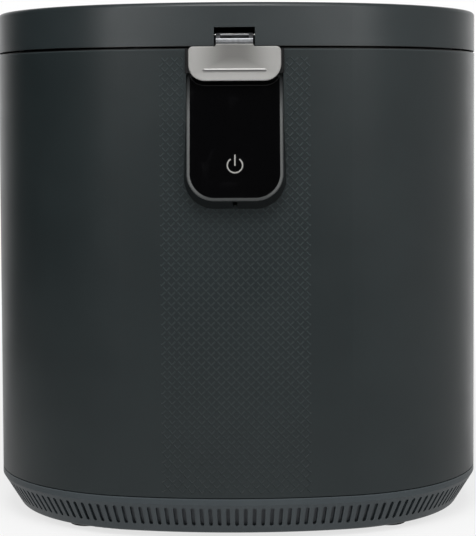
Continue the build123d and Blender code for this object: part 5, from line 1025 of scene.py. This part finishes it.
def floor():
    """A pale floor that goes over into plain white, and keeps the object's shadow.

    In gloss it is dim in front, brighter close to the object, and brightest behind it and to its
    right, where the white background of the photograph is.
    """
    material = bpy.data.materials.new("studio_floor")
    material.use_nodes = True
    w = Writer(material.node_tree)
    w.tree.nodes.clear()

    def glowing(strength):
        return w.add("ShaderNodeEmission", None, {"Color": WHITE, "Strength": strength})

    def mixed(share, first, second):
        return w.add("ShaderNodeMixShader", None, {0: share, 1: first, 2: second})

    x, y, _ = w.parts(w.add("ShaderNodeTexCoord", None, (), "Object"))
    distance = (x * x + y * y) ** 0.5
    backwards, sideways = (y + 0.08) / distance, x / distance
    behind = backwards.ramp(0.5, 1.0, 0.0, 0.7) + sideways.ramp(0.3, 1.0, 0.0, 0.3)
    near = distance.ramp(0.25, 1.3, 0.32, 0.0)
    in_gloss = mixed(behind.or_more(near), glowing(0.06), glowing(1.6))
    matt = w.add("ShaderNodeBsdfDiffuse", None, {"Color": (0.86, 0.86, 0.86, 1.0)})
    seen = w.add("ShaderNodeLightPath", None, (), "Is Camera Ray")
    white_share = seen * (0.72 + distance.ramp(0.35, 1.2) * 0.28)
    surface = mixed(white_share, mixed(seen.also("Is Glossy Ray"), matt, in_gloss), glowing(1.0))
    w.add("ShaderNodeOutputMaterial", None, {"Surface": surface})
    mesh = bpy.data.meshes.new("studio_floor")
    reach = 6.0
    mesh.from_pydata([(-reach, -reach, 0), (reach, -reach, 0), (reach, reach, 0), (-reach, reach, 0)],
                     [], [(0, 1, 2, 3)])
    mesh.materials.append(material)
    shown("studio_floor", mesh)


def surroundings():
    """White to the camera and behind the object, and a dark room behind the camera for gloss."""
    world = bpy.data.worlds.new("studio")
    bpy.context.scene.world = world
    world.use_nodes = True
    w = Writer(world.node_tree)
    w.tree.nodes.clear()
    x, y, z = w.parts(w.add("ShaderNodeTexCoord", None, (), "Generated"))
    rays = w.add("ShaderNodeLightPath", None, (), "Is Camera Ray")
    mirror = rays.also("Is Glossy Ray") + rays.also("Is Transmission Ray")
    room = 0.015 + y.ramp(0.5, 1.0) * 1.65 + x.ramp(0.3, 1.0) * 0.55 + z.ramp(0.6, 0.95) * 0.15
    plain = 0.19 + z.ramp(-0.2, 0.9) * 0.22
    level = rays + mirror * room + (1 - rays - mirror) * plain
    light = w.add("ShaderNodeBackground", None, {"Color": WHITE, "Strength": level})
    w.add("ShaderNodeOutputWorld", None, {"Surface": light})


def softbox(name, place, width, height, power):
    lamp = bpy.data.lights.new(name, "AREA")
    lamp.shape = "RECTANGLE"
    lamp.size, lamp.size_y, lamp.energy = width, height, power
    holder = bpy.data.objects.new(name, lamp)
    holder.location = place
    holder.rotation_euler = (Vector(LIT_POINT) - Vector(place)).to_track_quat("-Z", "Y").to_euler()
    bpy.context.scene.collection.objects.link(holder)


def camera():
    """The photograph's view: level with the upper part, almost straight from the front.

    The focal length and the shift are in the photograph's pixels, and the turns in degrees.
    """
    pixels_high, focus, shift = 536, 1589.0, 82.0
    pitch, yaw, roll = 2.50, 0.51, -0.29
    data = bpy.data.cameras.new("view")
    data.sensor_width = 36.0
    data.lens = focus / pixels_high * data.sensor_width
    data.shift_y = -shift / pixels_high
    holder = bpy.data.objects.new("view", data)
    bpy.context.scene.collection.objects.link(holder)
    turn = (Matrix.Rotation(math.radians(yaw), 4, "Z")
            @ Matrix.Rotation(math.radians(90 - pitch), 4, "X")
            @ Matrix.Rotation(math.radians(roll), 4, "Z"))
    holder.matrix_world = Matrix.Translation(EYE) @ turn
    bpy.context.scene.camera = holder


floor()
surroundings()
for lamp_name, settings in LAMPS.items():
    softbox(lamp_name, *settings)
camera()
bpy.context.scene.view_settings.view_transform = "Standard"
